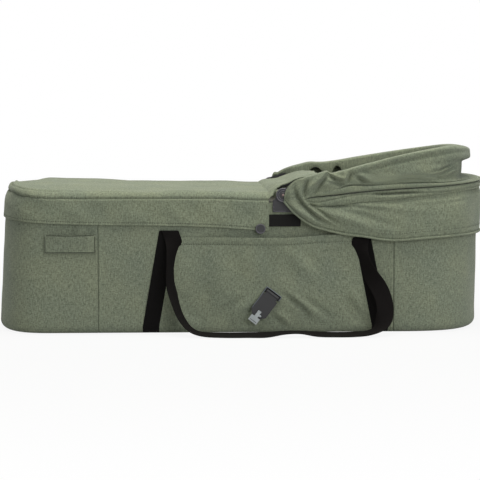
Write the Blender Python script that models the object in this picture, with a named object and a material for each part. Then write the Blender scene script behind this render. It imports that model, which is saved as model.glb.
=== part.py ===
"""Soft carrycot for a pushchair chassis, with its apron on and its hood folded down over the head end.

Metres, +Z up. The head end is +X. The occupant's left side is -Y, the side that the photograph shows.
The origin lies on the ground under the middle of the tub.
"""

import math

import bmesh
import bpy
from mathutils import Vector

MM = 0.001

# Driving sizes of the tub
TUB_HALF_WIDTH = 186 * MM
TUB_FOOT_X = -420 * MM
TUB_HEAD_X = 411 * MM
TUB_HEIGHT = 220.5 * MM
FOOT_END_LEAN = 9 * MM
HEAD_END_LEAN = 3 * MM
FOOT_END_DEPTH = 105 * MM
HEAD_END_DEPTH = 150 * MM
FOOT_END_POWER = 2.9
HEAD_END_POWER = 2.8
BOTTOM_RADIUS = 12 * MM
WALL = 4 * MM
FOOT_SEAM_SETBACK = 71 * MM
HEAD_SEAM_SETBACK = 13 * MM
CLEARANCE = 0.3 * MM
WELD = 0.001 * MM

# Inside the tub
FLOOR_PANEL = 4 * MM
BASE_BOARD = 3 * MM
BASE_BOARD_GAP = 0.5 * MM
LINING = 1.5 * MM
LINING_GAP = 0.5 * MM
RIM_TUBE_RADIUS = 5 * MM
MATTRESS_EDGE = 24 * MM
MATTRESS_CROWN = 8 * MM
MATTRESS_CHANNEL = 4 * MM
MATTRESS_CHANNEL_PITCH = 105 * MM
MATTRESS_CHANNEL_WIDTH = 12 * MM
MATTRESS_SIDE_TUCK = 2.5 * MM
MATTRESS_GAP = 3 * MM

# Apron
APRON_CLOTH = 1.8 * MM
APRON_HINGE_GAP = 23.3 * MM
APRON_CROWN_FOOT = 26 * MM
APRON_CROWN_END = 14.5 * MM
APRON_CROWN_POWER = 7
SKIRT_DROP_FOOT = 41.6 * MM
SKIRT_DROP_END = 54 * MM
SKIRT_FLARE = 1.4 * MM
FLAP_LENGTH = 84 * MM
FLAP_RISE = 39 * MM
FLAP_END_INSET = 26 * MM
FLAP_NARROWING_share = 2.2

# Webbing
WEB = 1.5 * MM
WEB_WIDTH = 28 * MM
WEB_FOLD_GAP = 1.2 * MM
FOOT_STRAP_SETBACK = 88 * MM
FOOT_STRAP_LEAN = 27 * MM
FOOT_STRAP_HEM_GAP = 1.6 * MM
HEAD_STRAP_SEAM_GAP = 4.5 * MM
HEAD_STRAP_LEAN = 30 * MM
HEAD_STRAP_DROP = 4 * MM
STRAP_SEAT_MARGIN = 2 * MM
HANDLE_STUB = 16 * MM
STUB_GAP = 0.95 * MM
HANDLE_WIDTH = 27 * MM
HANDLE_REACH = 42 * MM

# Side pocket
POCKET_CLOTH = 1.5 * MM
POCKET_BOTTOM_GAP = 1 * MM
POCKET_STRAP_GAP = 7 * MM
POCKET_BULGE = 8 * MM
POCKET_BULGE_POWER = 0.6
POCKET_FULL_share = 1.35
POCKET_FLAT_FOOT = 41 * MM
POCKET_FLAT_HEAD = 21.5 * MM

# Small tab pocket near the foot
TAB_SEAM_GAP = 3 * MM
TAB_LENGTH = 87 * MM
TAB_HEIGHT = 29 * MM
TAB_HEM_GAP = 7.6 * MM
TAB_CLOTH = 1.2 * MM
TAB_BULGE = 6 * MM
TAB_FULL_share = 1.6

# Hood hinge
HINGE_X = 63.9 * MM
HINGE_RISE = 11.2 * MM
HINGE_RADIUS = 11 * MM
HINGE_PLATE = 2 * MM
HINGE_WAIST_share = 0.9
BRACKET_HALF_WIDTH = 17 * MM
BRACKET_DEPTH = 28.7 * MM
BRACKET_TURN = math.radians(20)
RIVET_RADIUS = 2.4 * MM
RIVET_HEAD_RADIUS = 5 * MM
RIVET_HEAD = 1.6 * MM
RIVET_TIP_share = 0.6
LEAF_END_RADIUS = 5 * MM
MIDDLE_LEAF_LENGTH = 42 * MM
FRONT_LEAF_LENGTH = 44 * MM

# Press studs and hook strip
STUD_SETBACK = 14 * MM
STUD_RISE = 6.8 * MM
STUD_RADIUS = 8.4 * MM
STUD_CAP = 2.4 * MM
STUD_POST_RADIUS = 5 * MM
HOOK_STRIP_REACH = 29.8 * MM
HOOK_STRIP_GAP = 4 * MM
HOOK_STRIP_HEIGHT = 20 * MM
HOOK_STRIP_THICK = 1.5 * MM

# Hood bows and cloth
BOW_RADIUS = 3.5 * MM
BOW_INSET = 5 * MM
BOW_MERGE = 26 * MM
MIDDLE_BOW_SLOPE = 0.045
FRONT_BOW_OFFSET = 19.5 * MM
FRONT_BOW_SLOPE = 0.149
HOOD_CLOTH = 1.8 * MM
HOOD_RIVET_GAP = 0.8 * MM
HOOD_STRAP_GAP = 1.5 * MM
HOOD_OUT_HEAD = 3.2 * MM
HOOD_CORNER_LENGTH = 90 * MM
HOOD_TIP_SETBACK = 1.6 * MM
HOOD_TIP_HEM_RISE = 1.5 * MM
HOOD_TIP_TOP_RISE = 10 * MM
HOOD_HEM_RUN = 182 * MM
HOOD_HEM_GAP = 4 * MM
HOOD_HEM_HEAD_RISE = 6 * MM
HOOD_HEM_POWER = 3
HOOD_SKIRT_GAP = 2.1 * MM
HOOD_FOLD = 11 * MM
HOOD_ROLL_HEIGHT = 11.5 * MM
HOOD_ROLL_WIDTH = 9 * MM
HOOD_ROLL_PINCH_share = 0.28
HOOD_CLOTH_SETBACK = 56.1 * MM
HOOD_LAYER_GAP = 0.6 * MM
FRONT_BAND_GAP = 1 * MM
FRONT_BAND_RETURN = 13 * MM
FRONT_HEAD_PULL = 16 * MM
FRONT_PULL_POWER = 4
SKIRT_FOLD_DEPTH = 2.2 * MM
SKIRT_FOLD_REACH = 110 * MM
SKIRT_FOLDS = 6

# Chassis adaptor
ADAPTOR_X = 46.5 * MM
ADAPTOR_Z = 66 * MM
ADAPTOR_TILT = math.radians(37)
ADAPTOR_WIDTH = 30 * MM
ADAPTOR_LENGTH = 46 * MM
ADAPTOR_THICK = 3 * MM
ADAPTOR_CHAMFER = 7 * MM
ADAPTOR_BAR_RADIUS = 1.3 * MM
ADAPTOR_KNUCKLE_RADIUS = 2.9 * MM
ADAPTOR_KNUCKLE_GAP = math.radians(35)
ADAPTOR_SHOULDER = 3.5 * MM
ADAPTOR_NECK = 7 * MM
SOCKET_PLATE = 1.6 * MM
SOCKET_HEIGHT = 24 * MM
SOCKET_EAR = 2 * MM
SOCKET_EAR_HEIGHT = 6 * MM
SLOT_MARGIN = 2 * MM
KEY_HEAD_WIDTH = 16.5 * MM
KEY_HEAD_LENGTH = 10.5 * MM
KEY_THICK = 2.6 * MM
KEY_STEM_WIDTH = 6 * MM
KEY_STEM_LENGTH = 12 * MM

# How finely round shapes are divided
END_STEPS = 18
TUBE_SIDES = 8
ROUND_SIDES = 24
BOTTOM_STEPS = 4

# Places that follow from the sizes, from the tub outward
LAYER = TUB_HALF_WIDTH + CLEARANCE
FOOT_SEAM_X = TUB_FOOT_X + FOOT_END_DEPTH + FOOT_SEAM_SETBACK
HEAD_SEAM_X = TUB_HEAD_X - HEAD_END_DEPTH - HEAD_SEAM_SETBACK

HINGE_Z = TUB_HEIGHT + HINGE_RISE
BRACKET_BOTTOM = HINGE_Z - BRACKET_DEPTH
HOOK_STRIP_BOTTOM = BRACKET_BOTTOM - HOOK_STRIP_GAP - HOOK_STRIP_HEIGHT
HOOK_STRIP_END_X = HINGE_X + HOOK_STRIP_REACH

APRON_END_X = HINGE_X - APRON_HINGE_GAP
SKIRT_SEAM_OUT = APRON_CLOTH + CLEARANCE
SKIRT_HEM_OUT = SKIRT_SEAM_OUT + SKIRT_FLARE
APRON_SEAM_Z = TUB_HEIGHT + APRON_CLOTH + CLEARANCE
SKIRT_HEM_FOOT_Z = APRON_SEAM_Z - SKIRT_DROP_FOOT
SKIRT_HEM_END_Z = APRON_SEAM_Z - SKIRT_DROP_END
FLAP_END_HALF_WIDTH = TUB_HALF_WIDTH - FLAP_END_INSET
STUD_X = APRON_END_X - STUD_SETBACK
STUD_Z = SKIRT_HEM_END_Z + STUD_RISE
STUD_POST = SKIRT_FLARE - CLEARANCE

FOOT_STRAP_LOW_X = FOOT_SEAM_X + FOOT_STRAP_SETBACK
FOOT_STRAP_HIGH_X = FOOT_STRAP_LOW_X + FOOT_STRAP_LEAN
FOOT_STRAP_TOP = SKIRT_HEM_END_Z - FOOT_STRAP_HEM_GAP
HEAD_STRAP_LOW_X = HEAD_SEAM_X - HEAD_STRAP_SEAM_GAP - STRAP_SEAT_MARGIN - WEB_WIDTH / 2
HEAD_STRAP_HIGH_X = HEAD_STRAP_LOW_X - HEAD_STRAP_LEAN
HEAD_STRAP_TOP = FOOT_STRAP_TOP - HEAD_STRAP_DROP
HANDLE_PIVOT_Z = HEAD_STRAP_TOP - HANDLE_STUB

POCKET_BOTTOM = BOTTOM_RADIUS + POCKET_BOTTOM_GAP
POCKET_TOP = HEAD_STRAP_TOP - POCKET_STRAP_GAP
POCKET_BULGE_START_X = FOOT_STRAP_HIGH_X + POCKET_FLAT_FOOT
POCKET_BULGE_END_X = HEAD_STRAP_HIGH_X - POCKET_FLAT_HEAD
TAB_RIGHT_X = FOOT_SEAM_X - TAB_SEAM_GAP
TAB_LEFT_X = TAB_RIGHT_X - TAB_LENGTH
TAB_TOP = SKIRT_HEM_END_Z - TAB_HEM_GAP
TAB_BOTTOM = TAB_TOP - TAB_HEIGHT

HOOD_OUT_CORNER = 4 * CLEARANCE + 3 * HINGE_PLATE + RIVET_HEAD + HOOD_RIVET_GAP
HOOD_OUT_SIDE = CLEARANCE + 2 * WEB + WEB_FOLD_GAP + HOOD_STRAP_GAP
HOOD_TIP_X = HINGE_X + HOOD_TIP_SETBACK
HOOD_TIP_HEM_Z = TUB_HEIGHT + HOOD_TIP_HEM_RISE
HOOD_TIP_TOP_Z = TUB_HEIGHT + HOOD_TIP_TOP_RISE
HOOD_HEM_X = HOOD_TIP_X + HOOD_HEM_RUN
HOOD_HEM_Z = HANDLE_PIVOT_Z + HOOD_HEM_GAP
HOOD_HEM_HEAD_Z = HOOD_HEM_Z + HOOD_HEM_HEAD_RISE
HOOD_CLOTH_START_X = HINGE_X + HOOD_CLOTH_SETBACK
FRONT_BAND_TOP = FRONT_BOW_OFFSET + BOW_RADIUS + FRONT_BAND_GAP + HOOD_CLOTH
ADAPTOR_KNUCKLE_WIDTH = ADAPTOR_WIDTH - 2 * ADAPTOR_SHOULDER


def make_material(name, color, roughness, metallic=0.0):
    """A Principled BSDF with one colour."""
    material = bpy.data.materials.new(name)
    material.use_nodes = True
    shader = material.node_tree.nodes["Principled BSDF"]
    shader.inputs["Base Color"].default_value = (*color, 1.0)
    shader.inputs["Roughness"].default_value = roughness
    shader.inputs["Metallic"].default_value = metallic
    material.diffuse_color = (*color, 1.0)
    return material


def add_object(name, mesh_data, material, pivot=None):
    """Closes the mesh up, turns its faces outward and hangs it in the scene with its origin on the pivot."""
    bmesh.ops.remove_doubles(mesh_data, verts=mesh_data.verts, dist=WELD)
    bmesh.ops.recalc_face_normals(mesh_data, faces=mesh_data.faces)
    origin = Vector(pivot) if pivot else Vector()
    bmesh.ops.translate(mesh_data, verts=mesh_data.verts, vec=-origin)
    mesh = bpy.data.meshes.new(name)
    mesh_data.to_mesh(mesh)
    mesh_data.free()
    made = bpy.data.objects.new(name, mesh)
    made.location = origin
    made.data.materials.append(material)
    bpy.context.scene.collection.objects.link(made)
    return made


def loft(name, sections, material, closed=False, paired=False, pivot=None):
    """Skins a row of rings that have the same count of points.

    Closed joins the last ring to the first. Paired caps the ends with quads between opposite points.
    """
    data = bmesh.new()
    rings = [[data.verts.new(point) for point in ring] for ring in sections]
    count = len(rings[0])
    for k in range(len(rings) if closed else len(rings) - 1):
        here, following = rings[k], rings[(k + 1) % len(rings)]
        for i in range(count):
            j = (i + 1) % count
            data.faces.new((here[i], here[j], following[j], following[i]))
    if not closed:
        for ring in (rings[0], rings[-1]):
            if paired:
                for i in range(count // 2 - 1):
                    data.faces.new((ring[i], ring[i + 1], ring[count - 2 - i], ring[count - 1 - i]))
            else:
                data.faces.new(ring)
    return add_object(name, data, material, pivot)


def skin(name, outer, inner, material, pivot=None):
    """A sheet with two faces. Both are grids of columns, and their last rows close on each other."""
    data = bmesh.new()
    grids = [[[data.verts.new(point) for point in column] for column in grid] for grid in (outer, inner)]
    columns, rows = len(outer), len(outer[0])
    for grid in grids:
        for i in range(columns - 1):
            for j in range(rows - 1):
                data.faces.new((grid[i][j], grid[i + 1][j], grid[i + 1][j + 1], grid[i][j + 1]))
    front, back = grids
    for i in range(columns - 1):
        data.faces.new((front[i][0], front[i + 1][0], back[i + 1][0], back[i][0]))
    for i in (0, columns - 1):
        for j in range(rows - 1):
            data.faces.new((front[i][j], front[i][j + 1], back[i][j + 1], back[i][j]))
    bmesh.ops.remove_doubles(data, verts=data.verts, dist=WELD)
    return add_object(name, data, material, pivot)


def cut(target, cutter, operation="DIFFERENCE"):
    """Cuts the target with a hidden tool, or joins the tool to it."""
    cutter.hide_render = True
    cutter.display_type = "WIRE"
    modifier = target.modifiers.new(operation.lower(), "BOOLEAN")
    modifier.operation = operation
    modifier.solver = "EXACT"
    modifier.object = cutter


def smooth(share):
    """Eases from 0 to 1."""
    share = min(1.0, max(0.0, share))
    return share * share * (3 - 2 * share)


def spread(first, last, count):
    """Evenly spaced values from first to last."""
    return [first + (last - first) * k / (count - 1) for k in range(count)]


def end_turn(power):
    """Depth and width shares of a rounded end, from the left side round to the right side."""
    turn = []
    for k in range(END_STEPS + 1):
        angle = math.pi * (k / END_STEPS - 0.5)
        depth = abs(math.cos(angle)) ** (2 / power)
        width = math.copysign(abs(math.sin(angle)) ** (2 / power), math.sin(angle))
        turn.append((0.0 if k in (0, END_STEPS) else depth, width))
    return turn


def end_geometry(end, z):
    """Where a rounded end begins and how deep it is at a height. The end is -1 at the foot and 1 at the head."""
    share = z / TUB_HEIGHT
    if end < 0:
        return TUB_FOOT_X + FOOT_END_DEPTH, FOOT_END_DEPTH - FOOT_END_LEAN * share, FOOT_END_POWER
    return TUB_HEAD_X - HEAD_END_DEPTH, HEAD_END_DEPTH + HEAD_END_LEAN * share, HEAD_END_POWER


def end_path(end, open_stations, power_of_end):
    """Stations of a strip that starts on the left side, runs round an end and comes back on the right side.

    Each is (x of a straight station or None, depth share, width share).
    """
    path = [(x, 0.0, -1.0) for x in open_stations]
    path += [(None, depth, width) for depth, width in end_turn(power_of_end)]
    path += [(x, 0.0, 1.0) for x in reversed(open_stations)]
    return path


def path_point(end, station, inset, z):
    """The point of a station at an inset from the tub's outline."""
    x, depth_share, width_share = station
    start, depth, _ = end_geometry(end, z)
    y = (TUB_HALF_WIDTH - inset) * width_share
    if x is not None:
        return (x, y, z)
    return (start + end * (depth - inset) * depth_share, y, z)


def loop_points(inset, z):
    """The tub's whole outline at an inset, as one closed ring."""
    head = [path_point(1, station, inset, z) for station in end_path(1, [], HEAD_END_POWER)]
    foot = [path_point(-1, station, inset, z) for station in end_path(-1, [], FOOT_END_POWER)]
    return head + list(reversed(foot))


def wall_section():
    """Inset and height of the wall's outer face from the floor up, then of its inner face back down."""
    section = []
    for radius, steps in ((BOTTOM_RADIUS, range(BOTTOM_STEPS + 1)),
                          (BOTTOM_RADIUS - WALL, range(BOTTOM_STEPS, -1, -1))):
        side = [(BOTTOM_RADIUS - radius * math.sin(k / BOTTOM_STEPS * math.pi / 2),
                 BOTTOM_RADIUS - radius * math.cos(k / BOTTOM_STEPS * math.pi / 2)) for k in steps]
        top = (0.0 if radius == BOTTOM_RADIUS else WALL, TUB_HEIGHT)
        section += side + [top] if radius == BOTTOM_RADIUS else [top] + side
    return section


def side_y(side, distance):
    """The y of a plane at a distance from the middle. The side is -1 on the left and 1 on the right."""
    return side * distance


def disc(name, x, z, y0, y1, radius, material, pivot=None, top_radius=None):
    """A round piece along Y between y0 and y1."""
    rings = []
    for y, r in ((y0, radius), (y1, top_radius or radius)):
        rings.append([(x + r * math.cos(a), y, z + r * math.sin(a))
                      for a in (2 * math.pi * k / ROUND_SIDES for k in range(ROUND_SIDES))])
    return loft(name, rings, material, pivot=pivot)


def fill_outline(outline):
    """Adds points to an outline so that a bore at its centre, which takes their angles, stays round."""
    filled = []
    most = 2 * math.pi / ROUND_SIDES
    for k, first in enumerate(outline):
        last = outline[(k + 1) % len(outline)]
        start = math.atan2(first[1], first[0])
        turn = (math.atan2(last[1], last[0]) - start + math.pi) % (2 * math.pi) - math.pi
        pieces = max(1, math.ceil(abs(turn) / most - WELD))
        filled.append(first)
        for i in range(1, pieces):
            ray = Vector((math.cos(start + turn * i / pieces), math.sin(start + turn * i / pieces)))
            edge = Vector(last) - Vector(first)
            reach = Vector(first).cross(edge) / ray.cross(edge)
            filled.append(tuple(ray * reach))
    return filled


def holed_prism(name, outlines, hole_radius, place, material, pivot=None):
    """A prism with a round bore. Each outline is (offset along the bore, points round the bore's centre)."""
    data = bmesh.new()
    outlines = [(offset, fill_outline(outline)) for offset, outline in outlines]
    layers = []
    for offset, outline in outlines:
        rim = [data.verts.new(place(u, v, offset)) for u, v in outline]
        bore = []
        for u, v in outline:
            angle = math.atan2(v, u)
            bore.append(data.verts.new(place(hole_radius * math.cos(angle), hole_radius * math.sin(angle), offset)))
        layers.append((rim, bore))
    count = len(outlines[0][1])
    for i in range(count):
        j = (i + 1) % count
        for rim, bore in (layers[0], layers[-1]):
            data.faces.new((rim[i], rim[j], bore[j], bore[i]))
        for (rim, bore), (next_rim, next_bore) in zip(layers, layers[1:]):
            data.faces.new((rim[i], rim[j], next_rim[j], next_rim[i]))
            data.faces.new((bore[i], bore[j], next_bore[j], next_bore[i]))
    return add_object(name, data, material, pivot)


def arm_outline(radius, length, end_radius, slope):
    """A plate with a round eye at the origin that narrows to a round tip."""
    lean = math.asin((radius - end_radius) / length)
    arc = math.pi / 2 - lean
    eye_steps, tip_steps = ROUND_SIDES * 2 // 3, ROUND_SIDES // 3
    points = []
    for k in range(eye_steps + 1):
        angle = slope + arc + 2 * (math.pi - arc) * k / eye_steps
        points.append((radius * math.cos(angle), radius * math.sin(angle)))
    for k in range(tip_steps + 1):
        angle = slope - arc + 2 * arc * k / tip_steps
        points.append((length * math.cos(slope) + end_radius * math.cos(angle),
                       length * math.sin(slope) + end_radius * math.sin(angle)))
    return points


def build_tub(cloth, board, tube, pad):
    """Walls, floor, base board, rim tube, lining and mattress."""
    section = wall_section()
    for name, end, seam, power in (("wall_foot", -1, FOOT_SEAM_X - CLEARANCE / 2, FOOT_END_POWER),
                                   ("wall_head", 1, HEAD_SEAM_X + CLEARANCE / 2, HEAD_END_POWER)):
        stations = end_path(end, [seam], power)
        rings = [[path_point(end, s, inset, z) for inset, z in section] for s in stations]
        loft(name, rings, cloth, paired=True)
    sides = {}
    for label, side in (("left", -1), ("right", 1)):
        rings = [[(x, side_y(side, TUB_HALF_WIDTH - inset), z) for inset, z in section]
                 for x in (FOOT_SEAM_X + CLEARANCE / 2, HEAD_SEAM_X - CLEARANCE / 2)]
        sides[label] = loft("wall_" + label, rings, cloth, paired=True)

    inset = BOTTOM_RADIUS + CLEARANCE
    floor = loft("floor_panel", [loop_points(inset, z) for z in (0.0, FLOOR_PANEL)], cloth)
    board_bottom = FLOOR_PANEL + CLEARANCE
    board_top = board_bottom + BASE_BOARD
    board_inset = BOTTOM_RADIUS + BASE_BOARD_GAP
    loft("base_board", [loop_points(board_inset, z) for z in (board_bottom, board_top)], board)

    rim_z = TUB_HEIGHT - RIM_TUBE_RADIUS - LINING
    rim_inset = WALL + CLEARANCE + RIM_TUBE_RADIUS
    turns = [2 * math.pi * k / TUBE_SIDES for k in range(TUBE_SIDES)]
    around = [loop_points(rim_inset + RIM_TUBE_RADIUS * math.cos(a), rim_z + RIM_TUBE_RADIUS * math.sin(a))
              for a in turns]
    loft("rim_frame", around, tube, closed=True)

    lining_inset = WALL + CLEARANCE
    lining_bottom = BOTTOM_RADIUS + LINING_GAP
    lining_top = rim_z - RIM_TUBE_RADIUS - CLEARANCE
    corners = ((lining_inset, lining_bottom), (lining_inset, lining_top),
               (lining_inset + LINING, lining_top), (lining_inset + LINING, lining_bottom))
    loft("lining", [loop_points(*corner) for corner in corners], pad, closed=True)
    build_mattress(pad, board_top + CLEARANCE, lining_inset + LINING + MATTRESS_GAP)
    return sides, floor


def build_mattress(pad, bottom, inset):
    """A quilted mattress: a crown, sides drawn in above and below, and channels across it."""
    foot, head = TUB_FOOT_X + FOOT_END_LEAN + inset, TUB_HEAD_X - inset
    half = TUB_HALF_WIDTH - inset
    channels = int((head - foot) / MATTRESS_CHANNEL_PITCH)
    middle = (foot + head) / 2
    grooves = [middle + (k - (channels - 1) / 2) * MATTRESS_CHANNEL_PITCH for k in range(channels)]
    stations = {foot + CLEARANCE, foot + WALL, head - CLEARANCE, head - WALL}
    for groove in grooves:
        stations |= {groove - MATTRESS_CHANNEL_WIDTH, groove, groove + MATTRESS_CHANNEL_WIDTH}
    for depth_share in (0.12, 0.3, 0.6, 1.0):
        stations |= {foot + FOOT_END_DEPTH * depth_share, head - HEAD_END_DEPTH * depth_share}
    across_shares = (-1.0, -0.96, -0.85, -0.55, 0.0, 0.55, 0.85, 0.96, 1.0)
    rings = []
    for x in sorted(stations):
        width = half
        for start, depth, power, away in ((foot + FOOT_END_DEPTH, FOOT_END_DEPTH, FOOT_END_POWER, -1),
                                          (head - HEAD_END_DEPTH, HEAD_END_DEPTH, HEAD_END_POWER, 1)):
            beyond = (x - start) * away / depth
            if beyond > 0:
                width = half * max(0.0, 1 - min(1.0, beyond) ** power) ** (1 / power)
        near_groove = min(abs(x - groove) for groove in grooves) / MATTRESS_CHANNEL_WIDTH
        channel = MATTRESS_CHANNEL * (1 - smooth(near_groove))
        edge = MATTRESS_EDGE
        ring = [(x, -(width - MATTRESS_SIDE_TUCK), bottom), (x, width - MATTRESS_SIDE_TUCK, bottom),
                (x, width, bottom + edge / 2)]
        for share in reversed(across_shares):
            crown = MATTRESS_CROWN * (1 - share * share) - channel * (1 - abs(share) ** 8)
            tuck = MATTRESS_SIDE_TUCK * abs(share) ** 8
            ring.append((x, share * (width - tuck), bottom + edge + crown))
        ring.append((x, -width, bottom + edge / 2))
        rings.append(ring)
    loft("mattress", rings, pad)


def strap_grid(side_profile, x_at, width):
    """Rings of a flat strap from its path in Y and Z, with the strap's width lying along X."""
    rings = []
    for k, (y, z) in enumerate(side_profile):
        before, after = side_profile[max(k - 1, 0)], side_profile[min(k + 1, len(side_profile) - 1)]
        run = Vector((after[0] - before[0], after[1] - before[1])).normalized()
        turn = Vector((-run.y, run.x)) * WEB / 2
        x = x_at(k)
        rings.append([(x - width / 2, y + turn.x, z + turn.y), (x + width / 2, y + turn.x, z + turn.y),
                      (x + width / 2, y - turn.x, z - turn.y), (x - width / 2, y - turn.x, z - turn.y)])
    return rings


def strap_side_path(side, top, sunk):
    """Half of a lifting strap's path: the folded stub, the fold, the side and the corner under the floor."""
    inner = LAYER + WEB / 2
    outer = inner + WEB + WEB_FOLD_GAP
    middle, fold = (inner + outer) / 2, (outer - inner) / 2
    path = [(outer, HANDLE_PIVOT_Z + STUB_GAP)]
    for k in range(5):
        angle = math.pi * k / 4
        path.append((middle + fold * math.cos(angle), top - fold - WEB / 2 + fold * math.sin(angle)))
    radius = BOTTOM_RADIUS + CLEARANCE + WEB / 2
    path.append((inner, BOTTOM_RADIUS))
    for k in range(1, 4):
        angle = math.pi / 2 * k / 4
        drop = radius * math.sin(angle)
        path.append((inner - radius * (1 - math.cos(angle)), BOTTOM_RADIUS - drop * (1 - sunk / radius)))
    path.append((inner - radius, BOTTOM_RADIUS - (radius - sunk)))
    return [(side_y(side, y), z) for y, z in path]


def build_straps(webbing, walls, floor):
    """Each lifting strap runs up both sides and under the floor, where it is let in flush."""
    sunk = CLEARANCE + WEB
    for name, low_x, high_x, top in (("lift_strap_foot", FOOT_STRAP_LOW_X, FOOT_STRAP_HIGH_X, FOOT_STRAP_TOP),
                                     ("lift_strap_head", HEAD_STRAP_LOW_X, HEAD_STRAP_HIGH_X, HEAD_STRAP_TOP)):
        half = strap_side_path(-1, top, sunk)
        path = half + [(-y, z) for y, z in reversed(half)]

        def x_at(k, path=path, low_x=low_x, high_x=high_x, top=top):
            share = max(0.0, (path[k][1] - BOTTOM_RADIUS) / (top - BOTTOM_RADIUS))
            return low_x + (high_x - low_x) * share

        rings = strap_grid(path, x_at, WEB_WIDTH)
        loft(name, rings, webbing)
        build_strap_groove(name, low_x, walls, floor)


def build_strap_groove(name, x, walls, floor):
    """Cuts the seat of a strap across the floor and round both bottom edges."""
    depth = WEB + CLEARANCE
    half_width = WEB_WIDTH / 2 + STRAP_SEAT_MARGIN
    reach = TUB_HALF_WIDTH + BOTTOM_RADIUS
    inner = BOTTOM_RADIUS - depth - CLEARANCE
    outline = [(-reach, BOTTOM_RADIUS), (-reach, -BOTTOM_RADIUS), (reach, -BOTTOM_RADIUS), (reach, BOTTOM_RADIUS)]
    for side in (1, -1):
        steps = range(BOTTOM_STEPS * 2 + 1)
        arc = [(side * (TUB_HALF_WIDTH - BOTTOM_RADIUS + (inner + depth + CLEARANCE - depth * smooth(k / steps[-1]))
                        * math.cos(math.pi / 2 * k / steps[-1])),
                BOTTOM_RADIUS - (BOTTOM_RADIUS - depth * smooth(k / steps[-1]))
                * math.sin(math.pi / 2 * k / steps[-1])) for k in steps]
        outline += arc if side > 0 else list(reversed(arc))
    rings = [[(x + offset, y, z) for y, z in outline] for offset in (-half_width, half_width)]
    tool = loft(name + "_seat", rings, floor.data.materials[0])
    for target in (*walls.values(), floor):
        cut(target, tool)


def pocket_bulge(x, z):
    """How far the pocket cloth stands off the wall."""
    share = (x - POCKET_BULGE_START_X) / (POCKET_BULGE_END_X - POCKET_BULGE_START_X)
    along = math.sin(math.pi * share) if 0 < share < 1 else 0.0
    height = max(0.0, (z - POCKET_BOTTOM) / (POCKET_TOP - POCKET_BOTTOM))
    return POCKET_BULGE * min(1.0, POCKET_FULL_share * along ** 2) * height ** POCKET_BULGE_POWER


def strap_edge(low_x, high_x, top, z, away):
    """The x of a lifting strap's edge at a height, with the sewing clearance."""
    share = max(0.0, (z - BOTTOM_RADIUS) / (top - BOTTOM_RADIUS))
    return low_x + (high_x - low_x) * share + away * (WEB_WIDTH / 2 + CLEARANCE)


def build_side_pockets(cloth):
    """A wide pocket between the lifting straps on each side, open along its top."""
    pockets = {}
    column_shares = (0.0, 0.15, 0.24, 0.33, 0.42, 0.52, 0.62, 0.72, 0.8, 0.88, 1.0)
    height_shares = (0.0, 0.08, 0.2, 0.38, 0.6, 0.82, 1.0)
    for label, side in (("left", -1), ("right", 1)):
        rings = []
        for share in column_shares:
            outer, inner = [], []
            for height_share in height_shares:
                z = POCKET_BOTTOM + (POCKET_TOP - POCKET_BOTTOM) * height_share
                first = strap_edge(FOOT_STRAP_LOW_X, FOOT_STRAP_HIGH_X, FOOT_STRAP_TOP, z, 1)
                last = strap_edge(HEAD_STRAP_LOW_X, HEAD_STRAP_HIGH_X, HEAD_STRAP_TOP, z, -1)
                x = first + (last - first) * share
                back = LAYER + pocket_bulge(x, z)
                outer.append((x, side_y(side, back + POCKET_CLOTH), z))
                inner.append((x, side_y(side, back), z))
            rings.append(outer + list(reversed(inner)))
        pockets[label] = loft("side_pocket_" + label, rings, cloth, paired=True)
    return pockets


def build_tab_pockets(cloth):
    """A small open-topped pocket near the foot on each side."""
    for label, side in (("left", -1), ("right", 1)):
        rings = []
        for share in spread(0.0, 1.0, 9):
            x = TAB_LEFT_X + (TAB_RIGHT_X - TAB_LEFT_X) * share
            outer, inner = [], []
            for height_share in (0.0, 0.35, 0.7, 1.0):
                z = TAB_BOTTOM + (TAB_TOP - TAB_BOTTOM) * height_share
                fullness = min(1.0, TAB_FULL_share * math.sin(math.pi * share))
                stand = TAB_BULGE * fullness * height_share ** POCKET_BULGE_POWER
                outer.append((x, side_y(side, LAYER + stand + TAB_CLOTH), z))
                inner.append((x, side_y(side, LAYER + stand), z))
            rings.append(outer + list(reversed(inner)))
        loft("tab_pocket_" + label, rings, cloth, paired=True)


def apron_hem_z(station):
    """Height of the skirt's hem, which drops towards the open end."""
    x = station[0] if station[0] is not None else TUB_FOOT_X + FOOT_END_DEPTH
    share = smooth((x - TUB_FOOT_X - FOOT_END_DEPTH) / (APRON_END_X - TUB_FOOT_X - FOOT_END_DEPTH))
    return SKIRT_HEM_FOOT_Z + (SKIRT_HEM_END_Z - SKIRT_HEM_FOOT_Z) * share


def apron_crown(x):
    """How far the apron's top rises above its seam, from the foot to its open end."""
    share = smooth((x - TUB_FOOT_X) / (APRON_END_X - TUB_FOOT_X))
    return APRON_CROWN_FOOT + (APRON_CROWN_END - APRON_CROWN_FOOT) * share


def apron_point(station, inset, share, z):
    """A point of the apron's top, drawn in by a share of the half width and of the end's depth."""
    x, depth_share, width_share = station
    start, depth, _ = end_geometry(-1, APRON_SEAM_Z)
    y = (TUB_HALF_WIDTH - inset) * width_share * (1 - share)
    if x is None:
        x = start - (depth - inset) * depth_share * (1 - share)
    return (x, y, z)


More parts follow.
